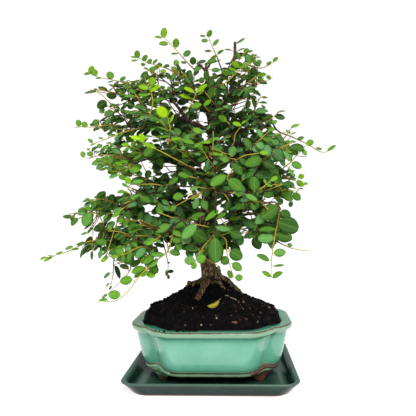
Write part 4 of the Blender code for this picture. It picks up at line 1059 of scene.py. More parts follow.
def add_leaf_stem(skin, draw, limb, root, out):
    """A leaf's own stem, from a limb."""
    bend = 0.5 * (limb + root) - out * 0.2 * (root - limb).length
    path = smooth_path([limb, bend, root + out * STALK_ENDS[1] * MM])
    steps = len(path) - 1
    radii = [(LEAF_STEM_RADIUS - LEAF_STEM_TAPER * i / steps) * MM for i in range(steps + 1)]
    ages = np.repeat(np.linspace(0.0, 0.7, len(path)), TWIG_SIDES)
    skin.add_tube(path, radii, TWIG_SIDES, TWIG_WOOD, ages, draw.random())


def grow_seen_leaf(draw, paths, plans, skins, canopy, foot_pixel, tip_pixel, share, youth):
    """One leaf where the photograph shows it, on the nearest seen shoot or on a stem of its own."""
    gap, index, foot = nearest_shoot(paths, foot_pixel)
    limb = None
    if gap > STALK_REACH**2:
        foot = seen_at(*foot_pixel, foot.y)
        _, index, limb = nearest_limb(foot, (seen_at(*tip_pixel, foot.y) - foot).normalized(), plans)
    for attempt in range(SEEN_TRIES):
        depth = foot.y - SEEN_FORWARD * attempt * MM
        root = seen_at(*foot_pixel, depth)
        length = (seen_at(*tip_pixel, depth) - root).length
        out = seen_at(*tip_pixel, depth - draw.uniform(*SEEN_SWING) * length) - root
        length = out.length
        out.normalize()
        face = square_to(EYE - root, out)
        tilt = math.degrees(math.acos(share / max(share, SEEN_WIDTH))) + draw.uniform(*SEEN_TILT)
        sign = 1 if turned(face, out, 20).z > face.z else -1
        face = turned(face, out, sign * tilt)
        width = max(share, SEEN_WIDTH) * length
        points, uvs = leaf_points(root, out, face, length, width, *leaf_bend(draw, *SEEN_BEND))
        if settle(skins[index], canopy, draw, points, uvs, face, length, width, youth):
            canopy.show(points[[0, -1]], 0.5 * share * length)
            if limb:
                add_leaf_stem(skins[index], draw, limb, root, out)
            else:
                add_stalk(skins[index], foot, root + out * STALK_ENDS[1] * MM, youth)
            return


def grow_seen_leaves(paths, plans, skins, canopy):
    draw = random.Random(SEEN_LEAF_SEED)
    for corner, scale, rows in LEAVES_SEEN:
        for x0, y0, x1, y1, share, youth in rows:
            foot = (corner[0] + x0 / scale, corner[1] + y0 / scale)
            tip = (corner[0] + x1 / scale, corner[1] + y1 / scale)
            grow_seen_leaf(draw, paths, plans, skins, canopy, foot, tip, share, youth)


def grow_twig(
    skin, canopy, draw, points, hint, radii, ages, youth,
    scale=1.0, step=None, taper=TWIG_TAPER, is_bare=False, join=-JOIN_FADE * MM,
):
    """A twig with leaves in two ranks along it and one at its tip. Its radii are in mm, and its ages are
    those after the join to older wood and at the tip."""
    step = step or (LEAF_STEP[0] * scale, LEAF_STEP[1] * scale)
    radii = [radius * MM for radius in radii]
    total = length_of(points)
    steps = max(3, int(total / (TWIG_STEP * MM)))
    path = resampled(points, total, steps)
    if canopy.has_edge:
        path = canopy.kept(path)
        if len(path) < 3:
            return
        steps = len(path) - 1
        total = length_of(path)
    wobble = [Vector((0, 0, 0))] + [stray(draw, TWIG_WOBBLE * MM) for _ in range(steps)]
    path = [p + w for p, w in zip(path, wobble)]
    marks = (join, join + JOIN_FADE * MM, max(total, join + 2 * JOIN_FADE * MM))
    share = np.repeat(np.interp(np.linspace(0, total, steps + 1), marks, (0.0, *ages)), TWIG_SIDES)
    skin.add_tube(path, graded(*radii, steps), TWIG_SIDES, TWIG_WOOD, share, draw.random())
    if is_bare:
        return
    distance = draw.uniform(*FIRST_LEAF) * MM
    sign = draw.choice((-1, 1))
    while distance < total - LAST_LEAF * MM:
        centre, ahead = along(path, distance)
        above = square_to(hint, ahead)
        t = distance / total
        aside = above.cross(ahead) * sign * LEAF_ASIDE * (radii[0] + (radii[1] - radii[0]) * t)
        size = scale * (1.0 - taper * t * t)
        newness = min(max(youth * (NEWNESS[0] + NEWNESS[1] * t), 0), 1)
        lean = facing(centre, LEAN)
        grow_leaf(skin, canopy, draw, centre + aside, ahead, above, sign, size, newness, lean)
        if draw.random() < PAIR_SHARE:
            size *= PAIR_SIZE
            grow_leaf(skin, canopy, draw, centre - aside, ahead, above, -sign, size, newness, lean)
        sign = -sign
        distance += draw.uniform(*step) * MM
    centre, ahead = along(path, total)
    size = scale * (TIP_SIZE - taper)
    newness = min(1.0, youth + TIP_NEWER)
    above = square_to(hint, ahead)
    grow_leaf(skin, canopy, draw, centre, ahead, above, 0, size, newness, facing(centre, LEAN))


def size_at(point):
    """Leaves are largest low at the crown's front and smaller towards its top."""
    height = min(max((point.z / MM - SMALLER_FROM) / SMALLER_OVER, 0.0), 1.0)
    front = min(max((-point.y / MM - LARGER_FROM) / LARGER_OVER, 0.0), 1.0)
    return SIZE_LOW - SIZE_LOSS * height + SIZE_FRONT * front * (1 - height)


def side_twig(draw, points, distance, hint, sign, length):
    """The path of a twig from one side of a longer one, which rises and then levels out."""
    root, ahead = along(points, distance)
    above = square_to(hint, ahead)
    start = turned(ahead, above, sign * draw.uniform(*FILL_ANGLE))
    start = (start + UP * draw.uniform(-0.15, 0.55) + stray(draw, 0.18)).normalized()
    bend = (facing(root, LEAN) * 0.35 - UP * draw.uniform(0.0, 0.35) + stray(draw, 0.2)) * length
    return [root + start * length * t + bend * t * t * 0.6 for t in [i / 6 for i in range(7)]]


def smooth_path(places, steps=6):
    """A curve through all the places."""
    ends = [places[0] * 2 - places[1], *places, places[-1] * 2 - places[-2]]
    path = []
    for a, b, c, d in zip(ends, ends[1:], ends[2:], ends[3:]):
        for i in range(steps):
            t = i / steps
            square = (2 * a - 5 * b + 4 * c - d) * t**2
            path.append(0.5 * (2 * b + (c - a) * t + square + (3 * b - a - 3 * c + d) * t**3))
    return path + [places[-1].copy()]


def seen_path(row, plans):
    """The nearest limb to a shoot that the photograph shows, the path out from it, and how much of
    that path is older wood."""
    seen, first_depth, last_depth = row[:3]
    depths = graded(first_depth, last_depth, len(seen) - 1)
    places = [seen_at(*pixel, depth * MM) for pixel, depth in zip(seen, depths)]
    gap, index, foot = nearest_limb(places[0], (places[1] - places[0]).normalized(), plans)
    if gap > JOIN_GAP * MM:
        path = smooth_path([foot, *places])
        return index, path, length_of(path[:7])
    return index, smooth_path(places), -JOIN_FADE * MM


def grow_seen_shoots(plans, skins, canopy):
    """Shoots that the photograph shows, with the leaves that it shows on them and then the rest."""
    paths = [seen_path(row, plans) for row in SHOOTS_SEEN]
    seen = [(index, path, canopy.pixels(np.array(path))) for index, path, _ in paths]
    grow_seen_leaves(seen, plans, skins, canopy)
    for index, path, _ in paths:
        for a, b in zip(path[5:], path[6:]):
            canopy.show(np.array([a, b]), STEM_SHOWN * MM)
    canopy.is_guarded = True
    for k, (row, (index, path, join)) in enumerate(zip(SHOOTS_SEEN, paths)):
        leaf, youth, spacing = row[3:]
        draw = random.Random(SEEN_SHOOT_SEED + k)
        hint = (facing(path[-1], LEAN) + Vector(SEEN_LEAN)).normalized()
        scale = SEEN_LEAF * leaf / (0.5 * (LEAF_LENGTH[0] + LEAF_LENGTH[1])) / size_at(path[-1])
        step = (spacing * 0.85, spacing * 1.15)
        ages = (0.12 + 0.38 * youth, 0.58 + 0.42 * youth)
        looks = (SEEN_TWIG, ages, youth, scale, step, SEEN_TAPER)
        grow_twig(skins[index], canopy, draw, path, hint, *looks, k in BARE_SHOOTS, join)


def build_spray(k, plan, twigs, skin, canopy, materials):
    """One limb's finer foliage: its own shoot and side twigs, and the short twigs between them."""
    draw = random.Random(FOLIAGE_SEED + k)
    limb = curve_points(plan["controls"], 0.0, 1.0, 2 * CURVE_STEPS)
    total = length_of(limb)
    wood = length_of(curve_points(plan["controls"], 0.0, plan["share"]))
    youth = draw.uniform(*(NEW_YOUTH if draw.random() < NEW_SPRAYS else OLD_YOUTH))
    # Painted light: low sprays get lighter leaf colour through a higher newness
    if limb[-1].z < PAINTED_LIGHT_BELOW * MM:
        youth += PAINTED_LOW_LIGHT
    main = twigs[0]
    shoot = resampled(main["points"], length_of(main["points"]) - TIP_ROOM * MM, CURVE_STEPS)
    grow_twig(skin, canopy, draw, shoot, main["hint"], MAIN_TWIG, MAIN_AGES, youth)
    for twig in twigs[1:]:
        side = (twig["points"], twig["hint"], SIDE_TWIG, SIDE_AGES)
        grow_twig(skin, canopy, draw, *side, youth * SIDE_YOUTH)
    sign = draw.choice((-1, 1))
    distance = max(FILL_FIRST * wood, FILL_ROOM * MM)
    while distance < total - FILL_END * MM:
        place, ahead = along(limb, distance)
        hint = square_to(facing(place, LEAN) + stray(draw, 0.3), ahead)
        is_inner = distance < wood
        length = draw.uniform(*FILL_LENGTH) * MM
        length *= 1.0 if distance > wood else FILL_INNER
        length = min(length, FILL_SHORTER * (total - distance) + FILL_ROOM * MM)
        path = side_twig(draw, limb, distance, hint, sign, length)
        newness = youth * (INNER_YOUTH if is_inner else OUTER_YOUTH) * draw.uniform(*YOUTH_PLAY)
        looks = (INNER_AGES if is_inner else OUTER_AGES, min(newness, 1.0))
        grow_twig(skin, canopy, draw, path, hint, FILL_TWIG, *looks, FILL_SIZE)
        if length > SMALL_FROM * MM and draw.random() < SMALL_SHARE:
            small = side_twig(draw, path, SMALL_PLACE * length, hint, -sign, SMALL_LENGTH * length)
            grow_twig(skin, canopy, draw, small, hint, SMALL_TWIG, *looks, SMALL_SIZE)
        sign = -sign
        distance += draw.uniform(*FILL_PLAY) * FILL_STEP * MM
    piece = skin.make(f"foliage_{k + 1:02d}", materials, "leaf")
    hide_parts(f"spray_{k + 1:02d}")


# Materials


def srgb(r, g, b):
    def linear(c):
        c /= 255
        return c / 12.92 if c <= 0.04045 else ((c + 0.055) / 1.055) ** 2.4

    return (linear(r), linear(g), linear(b), 1.0)


class Shader:
    """A material whose nodes are made by short calls. Its colours are given from 0 to 255."""

    def __init__(self, name, roughness, specular=0.5, **inputs):
        self.material = bpy.data.materials.new(name)
        self.material.use_nodes = True
        self.tree = self.material.node_tree
        self.main = self.tree.nodes["Principled BSDF"]
        self.set(self.main, {"Roughness": roughness, "Specular IOR Level": specular, **inputs})

    def set(self, made, inputs):
        for name, value in inputs.items():
            socket = made.inputs[name]
            if isinstance(value, bpy.types.NodeSocket):
                self.tree.links.new(value, socket)
            else:
                socket.default_value = value
        return made

    def node(self, kind, inputs=None, **settings):
        made = self.tree.nodes.new("ShaderNode" + kind)
        for name, value in settings.items():
            setattr(made, name, value)
        return self.set(made, inputs or {})

    def place(self):
        return self.node("TexCoord").outputs["Object"]

    def height(self):
        """Height in units of 0.5 m, so that the plant takes up a ramp's length."""
        return self.math("MULTIPLY", self.node("SeparateXYZ", {"Vector": self.place()}).outputs["Z"], 2.0)

    def value(self, name):
        return self.node("Attribute", attribute_name=name).outputs["Fac"]

    def noise(self, scale, detail=3.0, rough=0.55):
        inputs = {"Scale": scale, "Detail": detail, "Roughness": rough, "Vector": self.place()}
        return self.node("TexNoise", inputs).outputs["Fac"]

    def ramp(self, factor, stops):
        made = self.node("ValToRGB", {"Fac": factor})
        elements = made.color_ramp.elements
        while len(elements) < len(stops):
            elements.new(0.5)
        for element, (position, colour) in zip(elements, stops):
            element.position = position
            element.color = colour
        return made.outputs["Color"]

    def tones(self, factor, *stops):
        """A ramp of colours, each given as its place, red, green and blue."""
        return self.ramp(factor, [(at, srgb(*colour)) for at, *colour in stops])

    def grey(self, factor, *stops):
        """A ramp of levels, each given as its place and level."""
        return self.ramp(factor, [(at, (level, level, level, 1.0)) for at, level in stops])

    def mix(self, factor, a, b, blend="MIX"):
        return self.node("Mix", {0: factor, 6: a, 7: b}, data_type="RGBA", blend_type=blend).outputs[2]

    def math(self, operation, a, b=0.0):
        return self.node("Math", {0: a, 1: b}, operation=operation).outputs[0]

    def swayed(self, base, field, amount):
        """A base moved up and down by a field that swings about a half."""
        return self.math("ADD", base, self.math("MULTIPLY", self.math("SUBTRACT", field, 0.5), amount))

    def bump(self, height, strength, distance):
        made = self.node("Bump", {"Height": height, "Strength": strength, "Distance": distance})
        self.tree.links.new(made.outputs["Normal"], self.main.inputs["Normal"])

    def colour(self, socket):
        self.tree.links.new(socket, self.main.inputs["Base Color"])
        return self.material

    def rough(self, socket):
        self.tree.links.new(socket, self.main.inputs["Roughness"])


def leaf_material(name, is_under):
    """Deep green when old and yellow-green when new, with a pale midrib and side veins, and a painted
    bluish-green sheen on some leaves that are not new.
    """
    s = Shader(name, 0.66 if is_under else 0.46, 0.10)
    age = s.value("age")
    tone = s.value("tone")
    body = s.tones(
        s.swayed(age, tone, 0.26),
        (0.0, 24, 50, 14), (0.22, 62, 106, 34), (0.38, 88, 140, 42), (0.58, 104, 158, 26),
        (0.74, 124, 178, 16), (1.0, 164, 208, 12),
    )
    # Painted sheen: some leaves that are not new are mixed towards a pale bluish green that stands in for a
    # glossy reflection
    painted_sheen = s.math("MULTIPLY", s.grey(tone, (0.60, 0.0), (0.84, 0.50)), s.grey(age, (0.3, 1.0), (0.6, 0.0)))
    body = s.mix(painted_sheen, body, srgb(92, 148, 100))
    olive = s.grey(s.height(), (0.60, 0.0), (0.74, 1.0))
    body = s.mix(olive, body, s.mix(1.0, body, (0.82, 0.76, 0.45, 1.0), "MULTIPLY"))
    uv = s.node("UVMap", uv_map="UVMap").outputs["UV"]
    split = s.node("SeparateXYZ", {"Vector": uv})
    across = s.math("ABSOLUTE", s.math("SUBTRACT", split.outputs["X"], 0.5))
    rib = s.grey(across, (0.0, 1.0), (0.018, 0.85), (0.045, 0.0))
    slant = s.math("SUBTRACT", split.outputs["Y"], s.math("MULTIPLY", across, 0.75))
    wave = s.math("ABSOLUTE", s.math("SINE", s.math("MULTIPLY", slant, 19.0)))
    veins = s.grey(wave, (0.0, 1.0), (0.20, 0.25), (0.42, 0.0))
    lines = s.math("MAXIMUM", rib, s.math("MULTIPLY", veins, 0.42))
    mottle = s.grey(s.noise(420.0, 2.0), (0.35, 0.0), (0.75, 0.30))
    body = s.mix(mottle, body, s.mix(0.5, body, srgb(20, 60, 24)))
    pale = s.mix(0.55, body, srgb(170, 205, 100))
    body = s.mix(s.math("MULTIPLY", lines, 0.30), body, pale)
    if is_under:
        body = s.mix(0.34, body, srgb(112, 150, 84))
    s.bump(s.math("SUBTRACT", 1.0, lines), 0.35, 0.0002)
    return s.colour(body)


def twig_material():
    """Dark bark on older wood, then tan and at last green stems."""
    s = Shader("young_bark", 0.6, 0.2)
    grain = s.noise(700.0, 3.0)
    body = s.tones(
        s.swayed(s.value("age"), grain, 0.25),
        (0.0, 50, 39, 26), (0.30, 86, 68, 36), (0.52, 172, 146, 52), (0.74, 166, 160, 44),
        (1.0, 122, 150, 34),
    )
    s.bump(grain, 0.3, 0.0002)
    return s.colour(body)


def bark_material():
    """Scaly bark, dark in its furrows, with moss at the foot, painted shade on the wood inside the crown, and
    a reddish cut root end.
    """
    s = Shader("bark_rough", 0.88, 0.2)
    relief = s.value("age")
    blotch = s.noise(150.0, 4.0, 0.6)
    fine = s.noise(1100.0, 4.0, 0.65)
    body = s.tones(
        s.swayed(s.swayed(relief, blotch, 0.5), fine, 0.35),
        (0.20, 24, 17, 13), (0.48, 70, 53, 38), (0.72, 108, 84, 62), (0.92, 140, 115, 90),
        (1.0, 164, 144, 118),
    )
    height = s.height()
    low = s.grey(height, (0.22, 1.0), (0.33, 0.0))
    moss = s.grey(s.noise(110.0, 4.0, 0.6), (0.46, 0.0), (0.62, 1.0))
    body = s.mix(s.math("MULTIPLY", s.math("MULTIPLY", low, moss), 0.60), body, srgb(92, 88, 48))
    # Painted shade: over the heights that lie inside the crown, the wood is darkened towards near black
    high = s.grey(height, (0.42, 0.0), (0.60, 0.7), (0.78, 0.7), (0.83, 0.2))
    body = s.mix(high, body, srgb(24, 20, 15))
    red = s.math("MULTIPLY", s.value("tone"), s.grey(blotch, (0.30, 0.4), (0.65, 1.0)))
    body = s.mix(red, body, srgb(108, 68, 48))
    s.bump(s.math("ADD", s.math("MULTIPLY", relief, 0.5), s.math("MULTIPLY", fine, 0.5)), 0.7, 0.0008)
    return s.colour(body)


def soil_material():
    s = Shader("peat_crumb", 0.95, 0.1)
    body = s.tones(
        s.swayed(s.noise(260.0, 6.0, 0.7), s.value("tone"), 0.5),
        (0.36, 7, 6, 8), (0.56, 16, 14, 16), (0.74, 36, 27, 25), (0.92, 70, 48, 38),
    )
    s.bump(s.noise(900.0, 5.0, 0.7), 1.0, 0.0012)
    return s.colour(body)


def plain_material(name, colours, roughness):
    """A grainy material whose colour also follows each part's tone."""
    s = Shader(name, roughness)
    grain = s.noise(500.0, 4.0, 0.6)
    mixed = s.math("ADD", s.math("MULTIPLY", grain, 0.6), s.math("MULTIPLY", s.value("tone"), 0.4))
    s.bump(grain, 0.3, 0.0004)
    stops = zip(graded(0.25, 0.75, len(colours) - 1), colours)
    return s.colour(s.tones(mixed, *[(at, *colour) for at, colour in stops]))


def celadon_material():
    """Pale green glaze: darker where it pools and, under the lip, with painted shadow, brown where it runs
    thin on edges, red clay at the feet.
    """
    s = Shader("celadon", 0.2, **{"Coat Weight": 0.4, "Coat Roughness": 0.08})
    thin = s.value("tone")
    cloud = s.noise(26.0, 4.0, 0.6)
    speck = s.noise(190.0, 3.0, 0.6)
    body = s.tones(cloud, (0.30, 97, 167, 141), (0.52, 110, 176, 151), (0.72, 125, 187, 164))
    # Pooled glaze colour, which under the lip also stands in for painted shadow
    pooled_and_shaded = s.mix(s.grey(speck, (0.3, 0.0), (0.8, 0.5)), srgb(58, 140, 108), srgb(84, 170, 136))
    body = s.mix(s.value("age"), body, pooled_and_shaded)
    edge = s.swayed(thin, s.noise(120.0, 4.0, 0.7), 0.36)
    worn = s.grey(thin, (0.14, 0.0), (0.28, 0.62), (0.42, 0.7), (0.6, 0.9))
    body = s.mix(worn, body, srgb(126, 150, 116))
    body = s.mix(s.grey(edge, (0.46, 0.0), (0.56, 0.85), (0.8, 1.0)), body, srgb(76, 52, 40))
    body = s.mix(s.grey(edge, (0.86, 0.0), (0.98, 1.0)), body, srgb(118, 58, 42))
    pits = s.grey(s.noise(420.0, 2.0), (0.74, 0.0), (0.80, 0.35))
    body = s.mix(pits, body, srgb(74, 120, 96))
    s.rough(s.grey(edge, (0.5, 0.14), (0.95, 0.6)))
    s.bump(s.math("ADD", cloud, s.math("MULTIPLY", speck, 0.2)), 0.12, 0.0016)
    return s.colour(body)


def dark_glaze_material():
    """Nearly black green glaze that lightens on the edges, partly as thinner glaze and partly as a painted
    highlight, and on the floor by the wall as painted reflected light, with bare clay along the foot.
    """
    s = Shader("dark_glaze_gloss", 0.3, 0.2)
    cloud = s.noise(60.0, 5.0, 0.65)
    body = s.tones(cloud, (0.30, 12, 36, 30), (0.52, 20, 46, 39), (0.74, 36, 66, 58))
    # The pale mix is partly thinner glaze and partly a painted highlight on the rim, and painted reflected
    # light on the floor by the wall
    body = s.mix(s.math("MULTIPLY", s.value("age"), 0.60), body, srgb(96, 128, 114))
    rim = s.swayed(s.value("tone"), s.noise(150.0, 4.0, 0.7), 0.4)
    body = s.mix(s.grey(rim, (0.45, 0.0), (0.62, 1.0)), body, srgb(112, 62, 46))
    s.rough(s.grey(rim, (0.4, 0.12), (0.7, 0.7)))
    s.bump(cloud, 0.12, 0.0012)
    return s.colour(body)


# Pot and saucer

# The pot's plan is four lobes, with an inner corner at each notch between two of them
RIM_HALF_X = 100.0
RIM_HALF_Y = 78.0
NOTCH_X = 70.0
NOTCH_Y = 50.0
LOBE_RADIUS = 28.0
LOBE_POINTS = 14
FILLET_POINTS = 5
SOFT_CORNER = 12.0
FILLET_AT = (NOTCH_X + 0.4, NOTCH_Y + 1.0)
STAND_OUT = (0.78, 0.62)
POOL_IN_CORNER = 0.25
POT_UNDERSIDE = 16.6
POT_TOP = 73.0
POT_FLOOR = 20.5
DRAIN_AT = 36.0
DRAIN_RADIUS = 6.5
DRAIN_SIDES = 32
# Inset from the rim, height, how far the glaze pools there, which under the lip is partly painted shadow,
# how thin it runs, and in mm how far the inner corners rise and stand out there
POT_PROFILE = (
    (19.8, POT_UNDERSIDE, 0, 1, 0, 4),
    (18.2, 16.7, 0.1, 0.85, 0.2, 4.6),
    (17.2, 17.2, 0.5, 0.62, 0.5, 5),
    (16.7, 18.2, 0.7, 0.46, 1, 5.2),
    (16.5, 19.8, 0.7, 0.40, 2, 5),
    (16.6, 21.2, 0.8, 0.62, 3.4, 4.2),
    (16, 22.2, 0.9, 0.58, 4.4, 3.2),
    (15, 23.8, 0.7, 0.20, 4.6, 2.2),
    (13.6, 27.6, 0.3, 0, 3, 1),
    (11.8, 34, 0.1, 0, 0.6, 0.2),
    (9.4, 45, 0, 0, 0, 0.3),
    (7.6, 54, 0.1, 0, 0, 1),
    (6.6, 59, 0.4, 0, 0, 2),
    # The darker band under the lip is partly pooled glaze and partly painted shadow under the lip
    (6.2, 61.4, 0.8, 0, 0, 2.8),
    (5.2, 64.4, 1, 0, 0, 3.4),
    (3, 65.6, 0.7, 0.1, 0, 4),
    (1, 66.6, 0.1, 0.44, 0, 4.4),
    (0.2, 68.2, 0, 0.26, 0, 4.6),
    (0, 70.2, 0, 0.34, 0, 4.6),
    (0.3, 71.6, 0, 0.50, 0, 4.6),
    (1.1, 72.6, 0.1, 0.66, 0, 4.6),
    (2.2, POT_TOP, 0.4, 0.30, 0, 4.4),
    (4.6, 73, 0.7, 0, 0, 4.2),
    (9, 72.9, 0.8, 0, 0, 4),
    (12.2, 72.4, 0.8, 0.10, 0, 3.8),
    (13.6, 71, 0.7, 0.40, 0, 3.4),
    (14.4, 66, 0.3, 0, 0, 2),
    (16.6, 38, 0.2, 0.3, 0, 0),
    (20.5, 24.5, 0, 0.9, 0, 0),
    (26, POT_FLOOR, 0, 1, 0, 0),
)
# A foot: the middle of its base and its half sizes there, then its rows with their height, their share
# of the way from the base to the pot's own lower edge, and how far the glaze pools and how thin it runs
FOOT_AT = (57.0, 34.0)
FOOT_HALF = (6.6, 5.0)
FOOT_INSET = 16.1
FOOT_INNER = (46.0, 24.0)
FOOT_BACK = 12
# How much thinner the glaze runs on the feet to the right and to the left
FOOT_THIN = (0.22, -0.20)
FOOT_LIFT = 3.6
FOOT_PROFILE = (
    (4.8, 0, 0, 1),
    (5, 0.03, 0, 1),
    (6.6, 0.10, 0, 0.92),
    (9, 0.24, 0, 0.82),
    (11, 0.38, 0.1, 0.72),
    (13.4, 0.54, 0.2, 0.64),
    (15.4, 0.70, 0.3, 0.60),
    (16.6, 0.84, 0.5, 0.56),
    (17.4, 0.94, 0.6, 0.54),
    (18.2, 1, 0.7, 0.52),
    (20.4, 1, 0.8, 0.56),
    (22, 0.9, 0.8, 0.5),
)


def fillet(start, control, end, count):
    """Points of a curve between two arcs, without its ends."""
    points = []
    for i in range(1, count + 1):
        t = i / (count + 1)
        u = 1 - t
        points.append(tuple(u * u * start[k] + 2 * u * t * control[k] + t * t * end[k] for k in (0, 1)))
    return points


def lobed_outline(inset, points=LOBE_POINTS, stand=0.0):
    """The pot's plan at an inset from its rim, with each place's share of the way to an inner corner."""
    arcs = []
    for centre_x, centre_y, first, last in (
        (RIM_HALF_X - LOBE_RADIUS, NOTCH_Y - LOBE_RADIUS, 0, 90 - SOFT_CORNER),
        (NOTCH_X - LOBE_RADIUS, RIM_HALF_Y - LOBE_RADIUS, SOFT_CORNER, 90),
    ):
        arc = []
        for i in range(points):
            t = i / (points - 1)
            angle = math.radians(first + (last - first) * t)
            corner = t if first == 0 else 1 - t
            x = centre_x + LOBE_RADIUS * math.cos(angle)
            y = centre_y + LOBE_RADIUS * math.sin(angle)
            arc.append((x, y, corner))
        arcs.append(arc)
    inner = fillet(arcs[0][-1], FILLET_AT, arcs[1][0], FILLET_POINTS)
    quarter = arcs[0] + [(x, y, 1.0) for x, y in inner] + arcs[1]
    scale_x = 1 - inset / RIM_HALF_X
    scale_y = 1 - inset / RIM_HALF_Y
    out_x = STAND_OUT[0] * stand
    out_y = STAND_OUT[1] * stand
    placed = []
    for x, y, corner in quarter:
        share = corner**4
        placed.append((x * scale_x + out_x * share, y * scale_y + out_y * share, corner))
    left = [(-x, y, corner) for x, y, corner in reversed(placed)]
    back = placed + left
    return back + [(-x, -y, corner) for x, y, corner in back]


def skin_of_rings(rings, ends=True):
    """Points and faces of a skin over closed rings, with or without its two flat ends."""
    count = len(rings[0])
    faces = ring_faces(len(rings), count)
    if ends:
        top = (len(rings) - 1) * count
        faces = [tuple(reversed(range(count))), *faces, tuple(range(top, top + count))]
    return [p for ring in rings for p in ring], faces


def plate_with_holes(outline, holes):
    """Triangles over a flat outline with holes, counted along the outline and then along each hole."""
    loops = [[Vector(p) for p in loop] for loop in (outline, *holes)]
    return [tuple(t) for t in geometry.tessellate_polygon(loops)]


def is_downward(points, face):
    a, b, c = (Vector(points[i]) for i in face)
    return (b - a).cross(c - a).z < 0


def build_pot(material):
    skin = Skin()
    rings = []
    pool_and_shade = []
    thin = []
    for inset, height, pooled_and_shaded, edge, lift, stand in POT_PROFILE:
        ring = []
        for x, y, corner in lobed_outline(inset, stand=stand):
            ring.append((x * MM, y * MM, (height + lift * corner**3) * MM))
            pool_and_shade.append(min(1.0, pooled_and_shaded + POOL_IN_CORNER * corner**5))
            thin.append(edge)
        rings.append(ring)
    points, faces = skin_of_rings(rings, ends=False)
    count = len(rings[0])
    for ring_start, height, wants_down in ((0, POT_UNDERSIDE, True), (len(points) - count, POT_FLOOR, False)):
        loops = []
        for sign in (-1, 1):
            edge = circle(DRAIN_RADIUS, DRAIN_SIDES)
            loops.append([((sign * DRAIN_AT + x) * MM, y * MM, height * MM) for x, y in edge])
        outline = points[ring_start : ring_start + count]
        names = list(range(ring_start, ring_start + count))
        names += range(len(points), len(points) + 2 * DRAIN_SIDES)
        points += loops[0] + loops[1]
        pool_and_shade += [0.0] * (2 * DRAIN_SIDES)
        thin += [1.0] * (2 * DRAIN_SIDES)
        for triangle in plate_with_holes(outline, loops):
            face = tuple(names[i] for i in triangle)
            faces.append(face if is_downward(points, face) == wants_down else tuple(reversed(face)))
    low = len(points) - 4 * DRAIN_SIDES
    high = low + 2 * DRAIN_SIDES
    for hole in (0, DRAIN_SIDES):
        for k in range(DRAIN_SIDES):
            after = (k + 1) % DRAIN_SIDES
            faces.append((low + hole + after, low + hole + k, high + hole + k, high + hole + after))
    skin.add(points, faces, 0, pool_and_shade, thin)
    for sign_x, sign_y in ((-1, -1), (1, -1), (1, 1), (-1, 1)):
        add_foot(skin, sign_x, sign_y)
    pot = skin.make("pot_glazed", [material], "celadon_glaze")
    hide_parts("pot")


def foot_outline():
    """The pot's lower edge round one inner corner, closed across the underside."""
    edge = lobed_outline(FOOT_INSET, stand=5.0)[: 2 * LOBE_POINTS + FILLET_POINTS]
    edge = [p for p in edge if p[0] > FOOT_INNER[0] and p[1] > FOOT_INNER[1]]
    back = fillet(edge[-1], (FOOT_INNER[0] + 2, FOOT_INNER[1] + 2), edge[0], FOOT_BACK)
    return edge + [(x, y, 0.0) for x, y in back]


def add_foot(skin, sign_x, sign_y):
    rings = []
    pool_and_shade = []
    thin = []
    for height, share, pooled_and_shaded, edge in FOOT_PROFILE:
        ring = []
        for x, y, corner in foot_outline():
            angle = math.atan2(y - FOOT_AT[1], x - FOOT_AT[0])
            px = FOOT_AT[0] + share * (x - FOOT_AT[0]) + (1 - share) * FOOT_HALF[0] * math.cos(angle)
            py = FOOT_AT[1] + share * (y - FOOT_AT[1]) + (1 - share) * FOOT_HALF[1] * math.sin(angle)
            pz = height + FOOT_LIFT * share * corner**3
            ring.append((sign_x * px * MM, sign_y * py * MM, pz * MM))
            pool_and_shade.append(pooled_and_shaded)
            thin.append(min(1.0, edge + FOOT_THIN[0 if sign_x > 0 else 1]))
        rings.append(ring if sign_x * sign_y > 0 else list(reversed(ring)))
    skin.add(*skin_of_rings(rings), 0, pool_and_shade, thin)


# The saucer's corner radius at its widest ring, the least inside it, and how it changes with the inset
SAUCER_CORNER = 17.0
SAUCER_CORNER_LEAST = 6.0
SAUCER_WIDEST = 7
CORNER_OUTSIDE = 0.4
CORNER_INSIDE = 0.7
SAUCER_FLOOR = 4.5
# Half length, half depth, height, how pale the glaze is there, which is partly thinner glaze and partly a
# painted highlight on the rim and painted reflected light on the floor, and how bare the clay
SAUCER_PROFILE = (
    (91, 69.6, 0, 0, 1),
    (92.4, 71, 0.3, 0, 1),
    (93.6, 72.2, 1.4, 0, 0.62),
    (95, 73.4, 3.6, 0, 0.25),
    (98.4, 76.6, 9, 0, 0),
    (101, 79.4, 13.2, 0, 0),
    (102.3, 80.6, 14.9, 0.5, 0),
    (102.7, 81, 15.9, 0.8, 0.3),
    (102.2, 80.5, 16.7, 1, 0.5),
    (100.8, 79.2, 16.9, 0.8, 0.2),
    (98.8, 77.4, 16.5, 0.9, 0),
    (96.8, 75.4, 15.2, 0.4, 0),
    (94.4, 72.9, 11.6, 0, 0),
    (91.2, 69.7, 7.6, 0, 0),
    (88.4, 66.8, 5.4, 0.5, 0),
    (85, 63.5, SAUCER_FLOOR, 0.75, 0),
    (68, 46, SAUCER_FLOOR, 0.1, 0),
)


def rounded_rectangle(half_x, half_y, radius, corner_points):
    outline = []
    for quarter in range(4):
        sign_x = 1 if quarter in (0, 3) else -1
        sign_y = 1 if quarter in (0, 1) else -1
        for i in range(corner_points):
            angle = math.radians(90 * (quarter + i / (corner_points - 1)))
            x = sign_x * (half_x - radius) + radius * math.cos(angle)
            y = sign_y * (half_y - radius) + radius * math.sin(angle)
            outline.append((x, y))
    return outline


